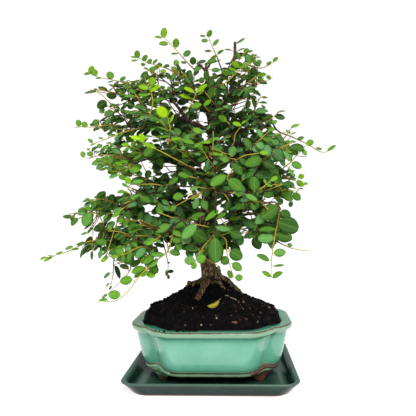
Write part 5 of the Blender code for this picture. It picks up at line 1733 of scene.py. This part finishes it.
def build_saucer(material):
    skin = Skin()
    rings = []
    pale = []
    bare = []
    for i, (half_x, half_y, height, edge, clay) in enumerate(SAUCER_PROFILE):
        inset = SAUCER_PROFILE[SAUCER_WIDEST][0] - half_x
        radius = SAUCER_CORNER + CORNER_OUTSIDE * inset
        if i >= SAUCER_WIDEST:
            radius = max(SAUCER_CORNER - CORNER_INSIDE * inset, SAUCER_CORNER_LEAST)
        outline = rounded_rectangle(half_x, half_y, radius, 10)
        rings.append([(x * MM, y * MM, height * MM) for x, y in outline])
        # The paleness is partly thinner glaze and partly painted highlight on the rim and painted reflected
        # light on the floor
        pale += [edge] * len(outline)
        bare += [clay] * len(outline)
    skin.add(*skin_of_rings(rings), 0, pale, bare)
    saucer = skin.make("saucer_glazed", [material], "dark_glaze")
    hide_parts("saucer")


# Soil

SOIL_EDGE = 69.6
SOIL_EDGE_INSET = 14.4
SOIL_BOTTOM = 22.4
MOUND_TOP = 116.0
HOLE_RADIUS = 17.0
SOIL_POINTS = 44
SOIL_RINGS = 92
SOIL_SEED = 41
# Share of the way from the trunk to the pot's wall, and the mound's rise there on the right and left
MOUND = (
    (0, 1, 1),
    (0.16, 0.86, 0.98),
    (0.36, 0.66, 0.76),
    (0.58, 0.52, 0.58),
    (0.80, 0.34, 0.40),
    (0.94, 0.19, 0.22),
    (1, 0, 0),
)
# How far the mound stands fuller beside the pot's ends than by this profile, and where
SHOULDER_LEFT = 8.0
SHOULDER_RIGHT = 4.0
SHOULDER_AT = 0.99
# Height of the collar of soil round the trunk, and the reach of it and of the shoulders
COLLAR = 1.6
REACH = 0.10
# Wave length and height in mm of the layers of relief on the soil, from the largest to the finest
SOIL_RELIEF = ((34.0, 1.6), (13.0, 1.3), (5.5, 1.0), (2.6, 0.55))
# The rings of soil start inside the trunk's hole and lie closer towards the pot, where the relief fades
SOIL_START = -0.12
SOIL_EASE = 0.92
SOIL_FADE = 0.05
SOIL_STAND = 3.4
# Inset and height in mm of the rings of soil inside the pot's wall
SOIL_SIDE = ((14.8, 68.0), (15.0, 66.0), (17.4, 38.0), (21.6, SOIL_BOTTOM))
# Finishes on the soil, and numbers of loose pieces on it
PEAT, CHIP, GRANULE, ROOTLET = range(4)
CRUMBS = 1100
FIBRES = 150
CHIPS = 95
SPILT = 70
BALL_LEVEL = 2


def ball():
    mesh = bmesh.new()
    bmesh.ops.create_icosphere(mesh, subdivisions=BALL_LEVEL, radius=1.0)
    mesh.verts.ensure_lookup_table()
    points = np.array([v.co for v in mesh.verts])
    faces = [tuple(v.index for v in f.verts) for f in mesh.faces]
    mesh.free()
    return points, faces


BALL_POINTS, BALL_FACES = ball()


def random_direction(draw):
    return Vector([draw.gauss(0, 1) for _ in range(3)])


def add_lump(skin, draw, centre, size, finish, age, tone, along_to=None, up=None, rough=0.26):
    """An uneven lump with three half sizes in mm, its long side along one vector and flat to another."""
    up = up or random_direction(draw).normalized()
    ahead = square_to(along_to or random_direction(draw), up)
    side = up.cross(ahead)
    shift = stray(draw, 50)
    swell = [1 + rough * noise.noise(Vector(p) * 1.7 + shift) * 2 for p in BALL_POINTS]
    basis = np.array([ahead * size[0], side * size[1], up * size[2]]) * MM
    points = np.array(centre) + (BALL_POINTS * np.array(swell)[:, None]) @ basis
    skin.add(points, BALL_FACES, finish, age, tone)


def mound_curve():
    return np.array([list(v) for v in smooth_path([Vector(step) for step in MOUND], 8)])


def soil_relief(x, y):
    total = 0.0
    for k, (length, height) in enumerate(SOIL_RELIEF):
        place = Vector((x / length, y / length, 7.3 * k))
        total += height * noise.noise(place)
    crumb = noise.noise(Vector((x / 3.4, y / 3.4, 31.0)))
    return total + 0.9 * abs(crumb) ** 1.5


def soil_rings():
    """Rings of the soil from the trunk's hole out over the mound and down inside the pot's wall."""
    edge = lobed_outline(SOIL_EDGE_INSET, SOIL_POINTS, SOIL_STAND)
    curve = mound_curve()
    rings = []
    for i in range(SOIL_RINGS + 1):
        t = SOIL_START + (1 - SOIL_START) * (i / SOIL_RINGS) ** SOIL_EASE
        u = max(t, 0.0)
        fade = min(1.0, (1 - t) / SOIL_FADE)
        right, left = (float(np.interp(u, curve[:, 0], curve[:, k])) for k in (1, 2))
        ring = []
        for k, (x1, y1, _) in enumerate(edge):
            bearing = 2 * math.pi * (k + 0.5) / len(edge)
            east = math.cos(bearing)
            x0 = HOLE_RADIUS * east
            y0 = HOLE_RADIUS * math.sin(bearing)
            x = x0 + (x1 - x0) * t
            y = y0 + (y1 - y0) * t
            rise = right + (left - right) * (0.5 - 0.5 * east)
            z = SOIL_EDGE + (MOUND_TOP - SOIL_EDGE) * rise
            z += COLLAR * math.exp(-((u / REACH) ** 2))
            shoulder = SHOULDER_LEFT * max(-east, 0.0) ** 3 + SHOULDER_RIGHT * max(east, 0.0) ** 3
            z += shoulder * math.exp(-(((u - SHOULDER_AT) / REACH) ** 2))
            z += soil_relief(x, y) * (0.35 + 0.65 * fade)
            ring.append((x * MM, y * MM, z * MM))
        rings.append(ring)
    for inset, height in SOIL_SIDE:
        rings.append([(x * MM, y * MM, height * MM) for x, y, _ in lobed_outline(inset, SOIL_POINTS)])
    return rings


def soil_seen_at(tree, px, py):
    """The soil's place and slope that the camera sees at a pixel, and the way that it looks there."""
    ray = (seen_at(px, py, 0) - EYE).normalized()
    hit, normal, _, _ = tree.ray_cast(EYE, ray)
    return hit, normal, ray


def lay_path(tree, pixels, lift, steps=5):
    """A path along the soil through the places that the camera sees at some pixels."""
    places = []
    for px, py in pixels:
        hit, normal, _ = soil_seen_at(tree, px, py)
        places.append(hit + normal * lift * MM)
    return smooth_path(places, steps)


def drop(tree, x, y):
    """The soil's place and slope under a point of the plan, given in mm."""
    hit, normal, _, _ = tree.ray_cast(Vector((x * MM, y * MM, 0.2)), -UP)
    return hit, normal


def scatter(tree, draw):
    """A random place on the soil's top."""
    while True:
        x = draw.uniform(-RIM_HALF_X, RIM_HALF_X)
        y = draw.uniform(-RIM_HALF_Y, RIM_HALF_Y)
        hit, normal = drop(tree, x, y)
        if hit and hit.z >= (SOIL_EDGE - 1.5) * MM and math.hypot(x, y) >= 12:
            return hit, normal


def crumb_sizes(draw, size):
    return [size * draw.uniform(0.7, 1.3) for _ in range(3)]


def add_crumbs(skin, tree, draw):
    for _ in range(CRUMBS):
        hit, normal = scatter(tree, draw)
        size = 0.55 + 1.5 * draw.random() ** 2.6
        sizes = crumb_sizes(draw, size)
        sink = draw.uniform(-0.3, 0.45) * size * MM
        add_lump(skin, draw, hit + normal * sink, sizes, PEAT, draw.random(), draw.random())


def add_fibres(skin, tree, draw):
    for _ in range(FIBRES):
        hit, normal = scatter(tree, draw)
        heading = square_to(stray(draw, 1.0), normal)
        side = normal.cross(heading)
        length = draw.uniform(4.0, 13.0) * MM
        bend = draw.uniform(-0.35, 0.35)
        path = []
        for i in range(6):
            t = i / 5 - 0.5
            place = hit + heading * length * t + side * bend * length * (t * t - 0.25)
            ground, slope = drop(tree, place.x / MM, place.y / MM)
            if ground is None:
                break
            path.append(ground + slope * draw.uniform(0.1, 0.7) * MM)
        if len(path) < 6:
            continue
        radius = draw.uniform(0.16, 0.40) * MM
        radii = [radius * share for share in (1, 1, 1, 0.9, 0.8, 0.5)]
        skin.add_tube(path, radii, 5, CHIP, draw.random(), draw.random())


def add_chips(skin, tree, draw):
    for _ in range(CHIPS):
        hit, normal = scatter(tree, draw)
        if hit.x < 0 and draw.random() < 0.6:
            continue
        size = draw.uniform(0.9, 2.3)
        sizes = (size, size * draw.uniform(0.35, 0.7), size * draw.uniform(0.14, 0.3))
        lean = (normal + stray(draw, 0.5)).normalized()
        place = hit + normal * 0.25 * MM
        add_lump(skin, draw, place, sizes, CHIP, draw.random(), draw.random(), None, lean)


def add_spilt_soil(skin, draw):
    """Soil that spilt over the front of the pot's rim on the left."""
    for _ in range(SPILT):
        x = draw.gauss(-29.0, 9.0)
        y = draw.uniform(3.4, 12.0) - RIM_HALF_Y
        size = draw.uniform(0.4, 1.25)
        sizes = crumb_sizes(draw, size)
        place = Vector((x, y, POT_TOP - 0.4 + 0.5 * size)) * MM
        add_lump(skin, draw, place, sizes, PEAT, draw.random(), draw.random())


# Pieces on the soil that the photograph shows, by the pixel where each is seen. Granules have their
# radius in mm, chips their three half sizes in mm, their turn in degrees and their tone, and rootlets
# their path and their radii at both ends
GRANULES = (
    (193, 308.2, 1.25), (216.6, 318, 1.15), (201.2, 325, 1.2), (185.2, 325.2, 0.9),
    (251.2, 297.4, 1.3), (269, 307.4, 1.5), (243.6, 301.8, 1.3), (257, 321.2, 1.9),
)
SEEN_CHIPS = (
    (234.6, 322.2, 3.4, 1.9, 0.8, 20, 0.85), (246.4, 319.2, 2.8, 1.3, 0.6, -10, 0.55),
    (230.8, 315, 1.6, 1.3, 0.6, 60, 0.80), (229.8, 290.4, 3.2, 1.2, 0.7, -5, 0.75),
    (243.2, 302.2, 2.6, 1.4, 0.7, 10, 0.60), (255.5, 309, 3.6, 1, 0.5, -30, 0.70),
    (261, 313, 3.4, 1, 0.5, -34, 0.62), (252, 315, 3, 0.9, 0.5, -24, 0.66),
    (259.5, 317.2, 2.6, 1.2, 0.5, 0, 0.50), (240.2, 319.6, 1.6, 1, 0.5, 0, 0.35),
    (265, 302.6, 2.4, 0.9, 0.4, -40, 0.42), (226, 321.8, 1.5, 0.9, 0.4, 15, 0.4),
)
ROOTLETS = (
    (((225, 295.2), (227.6, 295.6), (230.5, 297.3), (233.4, 298.4)), 0.75, 0.95),
    (((233, 298.2), (236, 299.8), (239, 302.4), (240.6, 305.2), (241.6, 307.2)), 0.95, 0.55),
    (((241.4, 307), (244, 309.4), (247, 311.2), (249, 313)), 0.55, 0.3),
    (((230.5, 314), (234.6, 312.4), (238.6, 312.8), (242, 313.6), (246, 313.4)), 0.4, 0.45),
    (((218.5, 305.8), (221.6, 307.2), (224.6, 309.2), (227, 311.8)), 0.3, 0.3),
    (((214, 309.6), (216.6, 311.4), (218.2, 313.4)), 0.3, 0.25),
    (((216, 324.6), (224, 325.2), (232, 324.8), (240, 324.6)), 0.3, 0.25),
    (((246, 304.6), (252, 308.6), (258, 310.6), (263, 313.4)), 0.4, 0.35),
)
FALLEN_LEAF_SEEN = ((218.6, 300.2), (207.8, 306.2))
FALLEN_LEAF_LIFT = 6.5
FALLEN_LEAF_FACE = (0.1, -0.75, -0.62)
FALLEN_LEAF_BEND = (1.05, 0.12, -0.15, 0.2)


def add_seen_pieces(skin, tree, draw):
    right, _, _ = camera_axes()
    for px, py, radius in GRANULES:
        hit, normal, _ = soil_seen_at(tree, px, py)
        sizes = [radius * draw.uniform(0.85, 1.15) for _ in range(3)]
        add_lump(skin, draw, hit + normal * 0.3 * radius * MM, sizes, GRANULE, 0.5, draw.random(), rough=0.1)
    for px, py, *sizes, turn, tone in SEEN_CHIPS:
        hit, normal, _ = soil_seen_at(tree, px, py)
        ahead = turned(square_to(right, normal), normal, turn)
        add_lump(skin, draw, hit + normal * 0.4 * MM, sizes, CHIP, tone, tone, ahead, normal)
    for pixels, first_radius, last_radius in ROOTLETS:
        path = lay_path(tree, pixels, 0.5)
        radii = [radius * MM for radius in graded(first_radius, last_radius, len(path) - 1)]
        skin.add_tube(path, radii, 8, ROOTLET, 0.5, first_radius)


def build_soil(materials):
    draw = random.Random(SOIL_SEED)
    skin = Skin()
    points, faces = skin_of_rings(soil_rings())
    tone = [0.5 + 0.5 * noise.noise(Vector(p) / (9 * MM)) for p in points]
    skin.add(points, [tuple(reversed(face)) for face in faces], PEAT, 0.5, tone)
    tree = BVHTree.FromPolygons([Vector(p) for p in points], faces)
    add_crumbs(skin, tree, draw)
    add_fibres(skin, tree, draw)
    add_chips(skin, tree, draw)
    add_spilt_soil(skin, draw)
    add_seen_pieces(skin, tree, draw)
    soil = skin.make("soil_crumb", materials, "peat")
    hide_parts("soil")
    return tree


def build_fallen_leaf(material, tree):
    ends = []
    for px, py in FALLEN_LEAF_SEEN:
        hit, _, ray = soil_seen_at(tree, px, py)
        ends.append(hit - ray * FALLEN_LEAF_LIFT * MM)
    foot = ends[0]
    out = (ends[1] - foot).normalized()
    length = (ends[1] - foot).length
    face = square_to(Vector(FALLEN_LEAF_FACE), out)
    skin = Skin()
    points, uvs = leaf_points(foot, out, face, length, 0.66 * length, *FALLEN_LEAF_BEND)
    skin.add(points, LEAF_FACES, LEAF_FINISHES, 0.5, 0.5, uvs)
    path = [foot - out * 3.4 * MM + UP * 0.8 * MM, foot - out * 1.4 * MM, foot + out * 0.5 * MM]
    skin.add_tube(path, [0.3 * MM, 0.3 * MM, 0.24 * MM], 6, 0, 0.5, 0.2)
    leaf = skin.make("fallen_leaf_dry", [material, material], "yellow_leaf")
    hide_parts("fallen_leaf")


# Wood

TRUNK_SIDES = 40
TRUNK_STEPS = 12
TRUNK_FOOT = 1
# The flare where a limb leaves the trunk: its radius, its most as a share of the trunk's, how much it
# narrows, and how far out it goes
FLARE = 5.4
FLARE_MOST = 1.05
FLARE_TAPER = 0.4
FLARE_REACH = 15
WOOD_SEED = 700
# A limb: its most radius as a share of the trunk's, its steps, its knots, the collar on a fork and on the
# trunk with its length, and how it wobbles
LIMB_MOST = 0.75
LIMB_STEP = 2.4
LIMB_KNOT = 0.22
FORK_COLLAR = 0.25
TRUNK_COLLAR = 0.35
COLLAR_LENGTH = 7
LIMB_WOBBLE = 0.3
# How red the cut end is over its middle, and over how many mm that fades
RED_MOST = 1.25
RED_REACH = 7.0
# The knob at the cut root end, which is reddish
LUMP_END = (-17.0, -36.0, 106.0)
VOXEL = 0.8
BARK_SMOOTH = 5
# Height in mm where the trunk's bark begins to be finer, and over which it changes, its plates' width at
# the foot and how much that shrinks, its relief and how much that shrinks, the level that stays in place,
# and the height and length of its swellings
BARK_FROM = 115
BARK_SPAN = 250
BARK_WIDE = (3.6, 1.4)
BARK_REACH = (1.5, 0.9)
BARK_LEVEL = 0.72
BARK_SWELL = 0.9
SWELL_LENGTH = 11
# Depth and sharpness of the bark's furrows and of its finer cracks, and the height of its flakes
FURROW = (0.75, 2.4)
CRACK = (0.30, 2.2)
FLAKE = 0.22
LIMB_BARK_WIDE = 2.0
LIMB_BARK_LEVEL = 0.7
LIMB_BARK_REACH = 0.55
LIMB_RADIUS = 3.4
FORK_RADIUS = 2.4
LIMB_END_RADIUS = 1.35
LIMB_SIDES = 9
# Surface roots: bearing, length and radius where each leaves the trunk, how far it swings aside and
# how high over the soil it starts
ROOTS = (
    (176, 18, 4.4, 8, 6),
    (214, 12, 4.2, -6, 6),
    (241, 23, 6.8, 5, 11),
    (310, 10, 4.4, -6, 5),
    (349, 24, 5.4, 5, 20),
    (24, 24, 5.4, 8, 10),
    (66, 18, 5, -8, 8),
    (104, 24, 5.4, 9, 10),
    (142, 17, 4.8, -8, 7),
)
# A root's way: its steps, how far out it starts and how much longer it is than it shows, its swing's
# bend, how much it thins, its ripple, how high it rides, and how fast it sinks and from where
ROOT_STEPS = 6
ROOT_START = 5.0
ROOT_MORE = 11.0
ROOT_BEND = 2.6
ROOT_TAPER = 0.55
ROOT_RIPPLE = 0.10
ROOT_RIDE = 0.45
ROOT_SINK = 1.5
ROOT_SINK_FROM = 0.62
ROOT_SECOND = 0.34
# The trunk's knob at the left foot and its cut stub at the top
ROOT_KNOB = (
    (-25, -2, 112, 3.6),
    (-29, -3, 116, 3.2),
    (-32.5, -4, 117.5, 2.6),
)
CUT_STUB = (
    (2, 0, 372, 2.4),
    (20, 0, 388, 2.3),
    (31, 0, 408, 2.2),
    (33, 0, 434, 2),
)


def round_tube(stations, steps, sides):
    """A tube through stations of a centre and a radius, all in mm."""
    path = smooth_path([Vector(station) for station in stations], steps)
    return tube([Vector(p[:3]) * MM for p in path], [p[3] * MM for p in path], sides)


def root_stations(tree, bearing, length, radius, swing, rise):
    """A root that comes out of the flare and sinks into the soil as it thins."""
    stations = []
    for i, t in enumerate(graded(0, 1, ROOT_STEPS)):
        turn = math.radians(bearing + swing * math.sin(ROOT_BEND * t))
        out = ROOT_START + t * (length + ROOT_MORE)
        here = radius * (1 - ROOT_TAPER * t) * (1 + ROOT_RIPPLE * math.sin(5 * t + bearing))
        x = math.cos(turn) * out
        y = math.sin(turn) * out
        hit, _ = drop(tree, x, y)
        z = hit.z / MM + here * (ROOT_RIDE - ROOT_SINK * max(0.0, t - ROOT_SINK_FROM))
        if i == 0:
            z = MOUND_TOP + rise
        if i == 1:
            z = max(z, MOUND_TOP + ROOT_SECOND * rise)
        stations.append((x, y, z, here))
    return stations


def remeshed(points, faces, voxel):
    """The outside of overlapping closed skins, as one even skin."""
    mesh = new_mesh("wood_core", [tuple(p) for p in points], faces)
    core = linked_object("wood_core", mesh)
    remesh = core.modifiers.new("Remesh", "REMESH")
    remesh.mode = "VOXEL"
    remesh.voxel_size = voxel
    relax = core.modifiers.new("Smooth", "SMOOTH")
    relax.factor = 0.5
    relax.iterations = BARK_SMOOTH
    evaluated = core.evaluated_get(bpy.context.evaluated_depsgraph_get())
    made = bpy.data.meshes.new_from_object(evaluated)
    bpy.data.objects.remove(core, do_unlink=True)
    bpy.data.meshes.remove(mesh)
    return made


def bark_relief(place, wide):
    """Height of the bark from 0 in a furrow to 1 on a plate, with furrows that run up the wood."""
    x, y, z = place.x / MM, place.y / MM, place.z / MM
    bent = Vector((x / wide, y / wide, z / (3.2 * wide)))
    bent.x += 0.35 * noise.noise(Vector((x, y, z)) / 9.0)
    furrow = 1 - abs(noise.noise(bent)) * FURROW[1]
    crack = 1 - abs(noise.noise(bent * 2.3 + Vector((5, 5, 5)))) * CRACK[1]
    flake = noise.noise(Vector((x / 1.9, y / 1.9, z / 2.6)))
    height = 1.0 - FURROW[0] * max(furrow, 0.0) ** 2 - CRACK[0] * max(crack, 0.0) ** 2 + FLAKE * flake
    return min(max(height, 0.0), 1.0)


def wood_core(plans, tree):
    """The trunk with its roots, stubs and the flares of its limbs, as one skin."""
    parts = [
        round_tube(TRUNK[TRUNK_FOOT:], TRUNK_STEPS, TRUNK_SIDES),
        round_tube(CUT_STUB, 6, 12),
        round_tube(ROOT_KNOB, 4, 12),
    ]
    parts += [round_tube(root_stations(tree, *root), 4, 14) for root in ROOTS]
    for plan in plans:
        if not plan["fork"]:
            path = curve_points(plan["controls"], 0.0, 0.2, 8)
            path = [p for p in path if (p - path[0]).length < FLARE_REACH * MM]
            if len(path) > 2:
                steps = len(path) - 1
                foot = min(FLARE * MM, FLARE_MOST * trunk_at(path[0].z)[1])
                parts.append(tube(path, [foot * (1 - FLARE_TAPER * i / steps) for i in range(steps + 1)], 12))
    points = []
    faces = []
    for part_points, part_faces in parts:
        offset = len(points)
        points += part_points
        faces += [tuple(i + offset for i in face) for face in part_faces]
    return remeshed(points, faces, VOXEL * MM)


def build_wood(plans, tree, material):
    core = wood_core(plans, tree)
    count = len(core.vertices)
    places = np.empty(3 * count)
    core.vertices.foreach_get("co", places)
    normals = np.empty(3 * count)
    core.vertex_normals.foreach_get("vector", normals)
    places = places.reshape(-1, 3)
    normals = normals.reshape(-1, 3)
    relief = np.empty(count)
    end = np.zeros(count)
    lump = Vector(LUMP_END) * MM
    for i in range(count):
        z = places[i][2] / MM
        share = min(max((z - BARK_FROM) / BARK_SPAN, 0.0), 1.0)
        relief[i] = bark_relief(Vector(places[i]), BARK_WIDE[0] - BARK_WIDE[1] * share)
        reach = (BARK_REACH[0] - BARK_REACH[1] * share) * MM
        swell = BARK_SWELL * noise.noise(Vector(places[i]) / (SWELL_LENGTH * MM)) * (1 - 0.6 * share) * MM
        places[i] += normals[i] * ((relief[i] - BARK_LEVEL) * reach + swell)
        gap = (Vector(places[i]) - lump).length / MM
        end[i] = min(max(RED_MOST - gap / RED_REACH, 0.0), 1.0)
    skin = Skin()
    skin.add(places, [tuple(p.vertices) for p in core.polygons], 0, relief, end)
    bpy.data.meshes.remove(core)
    for k, plan in enumerate(plans):
        add_limb(skin, k, plan)
    wood = skin.make("trunk_bark", [material], "bark")
    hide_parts("trunk")


def add_limb(skin, k, plan):
    draw = random.Random(WOOD_SEED + k)
    length = length_of(curve_points(plan["controls"], 0.0, plan["share"]))
    steps = max(8, int(length / (LIMB_STEP * MM)))
    path = curve_points(plan["controls"], 0.0, plan["share"], steps)
    first_radius = FORK_RADIUS
    if not plan["fork"]:
        first_radius = min(LIMB_RADIUS, LIMB_MOST * trunk_at(path[0].z)[1] / MM)
    radii = []
    for i in range(steps + 1):
        t = i / steps
        knot = 1 + LIMB_KNOT * max(0.0, noise.noise(Vector((k * 3.7, i * 0.42, 1.0))))
        collar = FORK_COLLAR if plan["fork"] else TRUNK_COLLAR
        collar = 1 + collar * math.exp(-t * length / (COLLAR_LENGTH * MM))
        radii.append((first_radius + (LIMB_END_RADIUS - first_radius) * t**0.8) * knot * collar * MM)
    for i in range(1, steps):
        path[i] = path[i] + stray(draw, LIMB_WOBBLE * MM)
    rings, faces = tube(path, radii, LIMB_SIDES)
    moved = []
    relief = []
    for i, point in enumerate(rings):
        height = bark_relief(point, LIMB_BARK_WIDE)
        out = (point - path[i // LIMB_SIDES]).normalized()
        moved.append(point + out * (height - LIMB_BARK_LEVEL) * LIMB_BARK_REACH * MM)
        relief.append(height)
    skin.add(moved, faces, 0, relief, 0.0)


# Light and floor

WORLD_LIGHT = 0.50
# Lamps: name, the direction that the light comes from, strength, and spread in degrees
LAMPS = (
    ("key", (0.30, -0.85, 0.90), 2.75, 30.0),
    ("fill", (-0.9, -0.8, 0.5), 0.5, 60.0),
)
STAGE_REACH = 5.0
FLOOR_GLOW = 0.80
BACKDROP_GLOW = 1.05
BACKDROP_SIDES = 48
BACKDROP_FOOT = -0.02


def soft_sun(name, come_from, strength, spread):
    """An even, soft light from one direction, as from a large lamp."""
    data = bpy.data.lights.new(name, "SUN")
    data.energy = strength
    data.angle = math.radians(spread)
    light = linked_object(name, data)
    light.rotation_mode = "QUATERNION"
    light.rotation_quaternion = (-Vector(come_from)).to_track_quat("-Z", "Y")


def white_glow():
    """Plain white for the backdrop, the same from every side."""
    glow = bpy.data.materials.new("white_backdrop")
    glow.use_nodes = True
    nodes = glow.node_tree.nodes
    nodes.clear()
    shine = nodes.new("ShaderNodeEmission")
    shine.inputs["Strength"].default_value = BACKDROP_GLOW
    out = nodes.new("ShaderNodeOutputMaterial")
    glow.node_tree.links.new(shine.outputs[0], out.inputs["Surface"])
    return glow


def build_studio():
    world = bpy.data.worlds.new("studio")
    world.use_nodes = True
    back = world.node_tree.nodes["Background"]
    back.inputs["Color"].default_value = (1.0, 1.0, 1.0, 1.0)
    back.inputs["Strength"].default_value = WORLD_LIGHT
    bpy.context.scene.world = world
    for lamp in LAMPS:
        soft_sun(*lamp)
    glowing = {"Emission Color": (1, 1, 1, 1), "Emission Strength": FLOOR_GLOW}
    s = Shader("pale_floor", 0.9, 0.1, **glowing)
    s.colour(s.mix(s.noise(6.0), (0.33, 0.33, 0.33, 1), (0.35, 0.35, 0.35, 1)))
    r = STAGE_REACH
    stage_piece("floor", [(-r, -r, 0), (r, -r, 0), (r, r, 0), (-r, r, 0)], [(0, 1, 2, 3)], s.material)
    rings = []
    for height in (BACKDROP_FOOT, BACKDROP_FOOT + r):
        rings += [(x, y, height) for x, y in circle(0.95 * r, BACKDROP_SIDES)]
    wall = stage_piece("backdrop", rings, ring_faces(2, BACKDROP_SIDES), white_glow())
    wall.visible_diffuse = False
    wall.visible_glossy = False
    wall.visible_shadow = False
    bpy.context.scene.view_settings.view_transform = "Standard"


def stage_piece(name, points, faces, material):
    mesh = new_mesh(name, points, faces)
    mesh.materials.append(material)
    thing = linked_object(name, mesh)
    return thing


def main():
    build_camera()
    build_studio()
    plans = plan_limbs()
    taken = [p for plan in plans for p in curve_points(plan["controls"], steps=LIMB_STEPS)]
    shoots = [plan_shoot(k, plan, taken) for k, plan in enumerate(plans)]
    canopy = Canopy(CAD_LOW, CAD_HIGH)
    green = [leaf_material("leaf_top", False), leaf_material("leaf_under", True), twig_material()]
    skins = [Skin() for _ in plans]
    grow_seen_shoots(plans, skins, canopy)
    canopy.has_edge = True
    for k, (plan, twigs) in enumerate(zip(plans, shoots)):
        build_spray(k, plan, twigs, skins[k], canopy, green)
    build_pot(celadon_material())
    build_saucer(dark_glaze_material())
    chip = plain_material("bark_chip", [(44, 28, 24), (92, 52, 38), (128, 78, 56)], 0.85)
    granule = plain_material("granule_tan", [(150, 124, 88), (196, 168, 128)], 0.7)
    pale_root = plain_material("root_pale", [(96, 74, 58), (168, 142, 112), (196, 170, 140)], 0.65)
    ground = build_soil([soil_material(), chip, granule, pale_root])
    yellow = plain_material("yellow_leaf_dry", [(176, 152, 34), (214, 196, 56), (232, 218, 110)], 0.5)
    build_fallen_leaf(yellow, ground)
    build_wood(plans, ground, bark_material())
    net = plain_material("drain_net_black", [(14, 14, 14), (26, 26, 27)], 0.6)
    for name in ("drain_screen_left", "drain_screen_right"):
        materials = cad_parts[name].data.materials
        materials.clear()
        materials.append(net)


main()
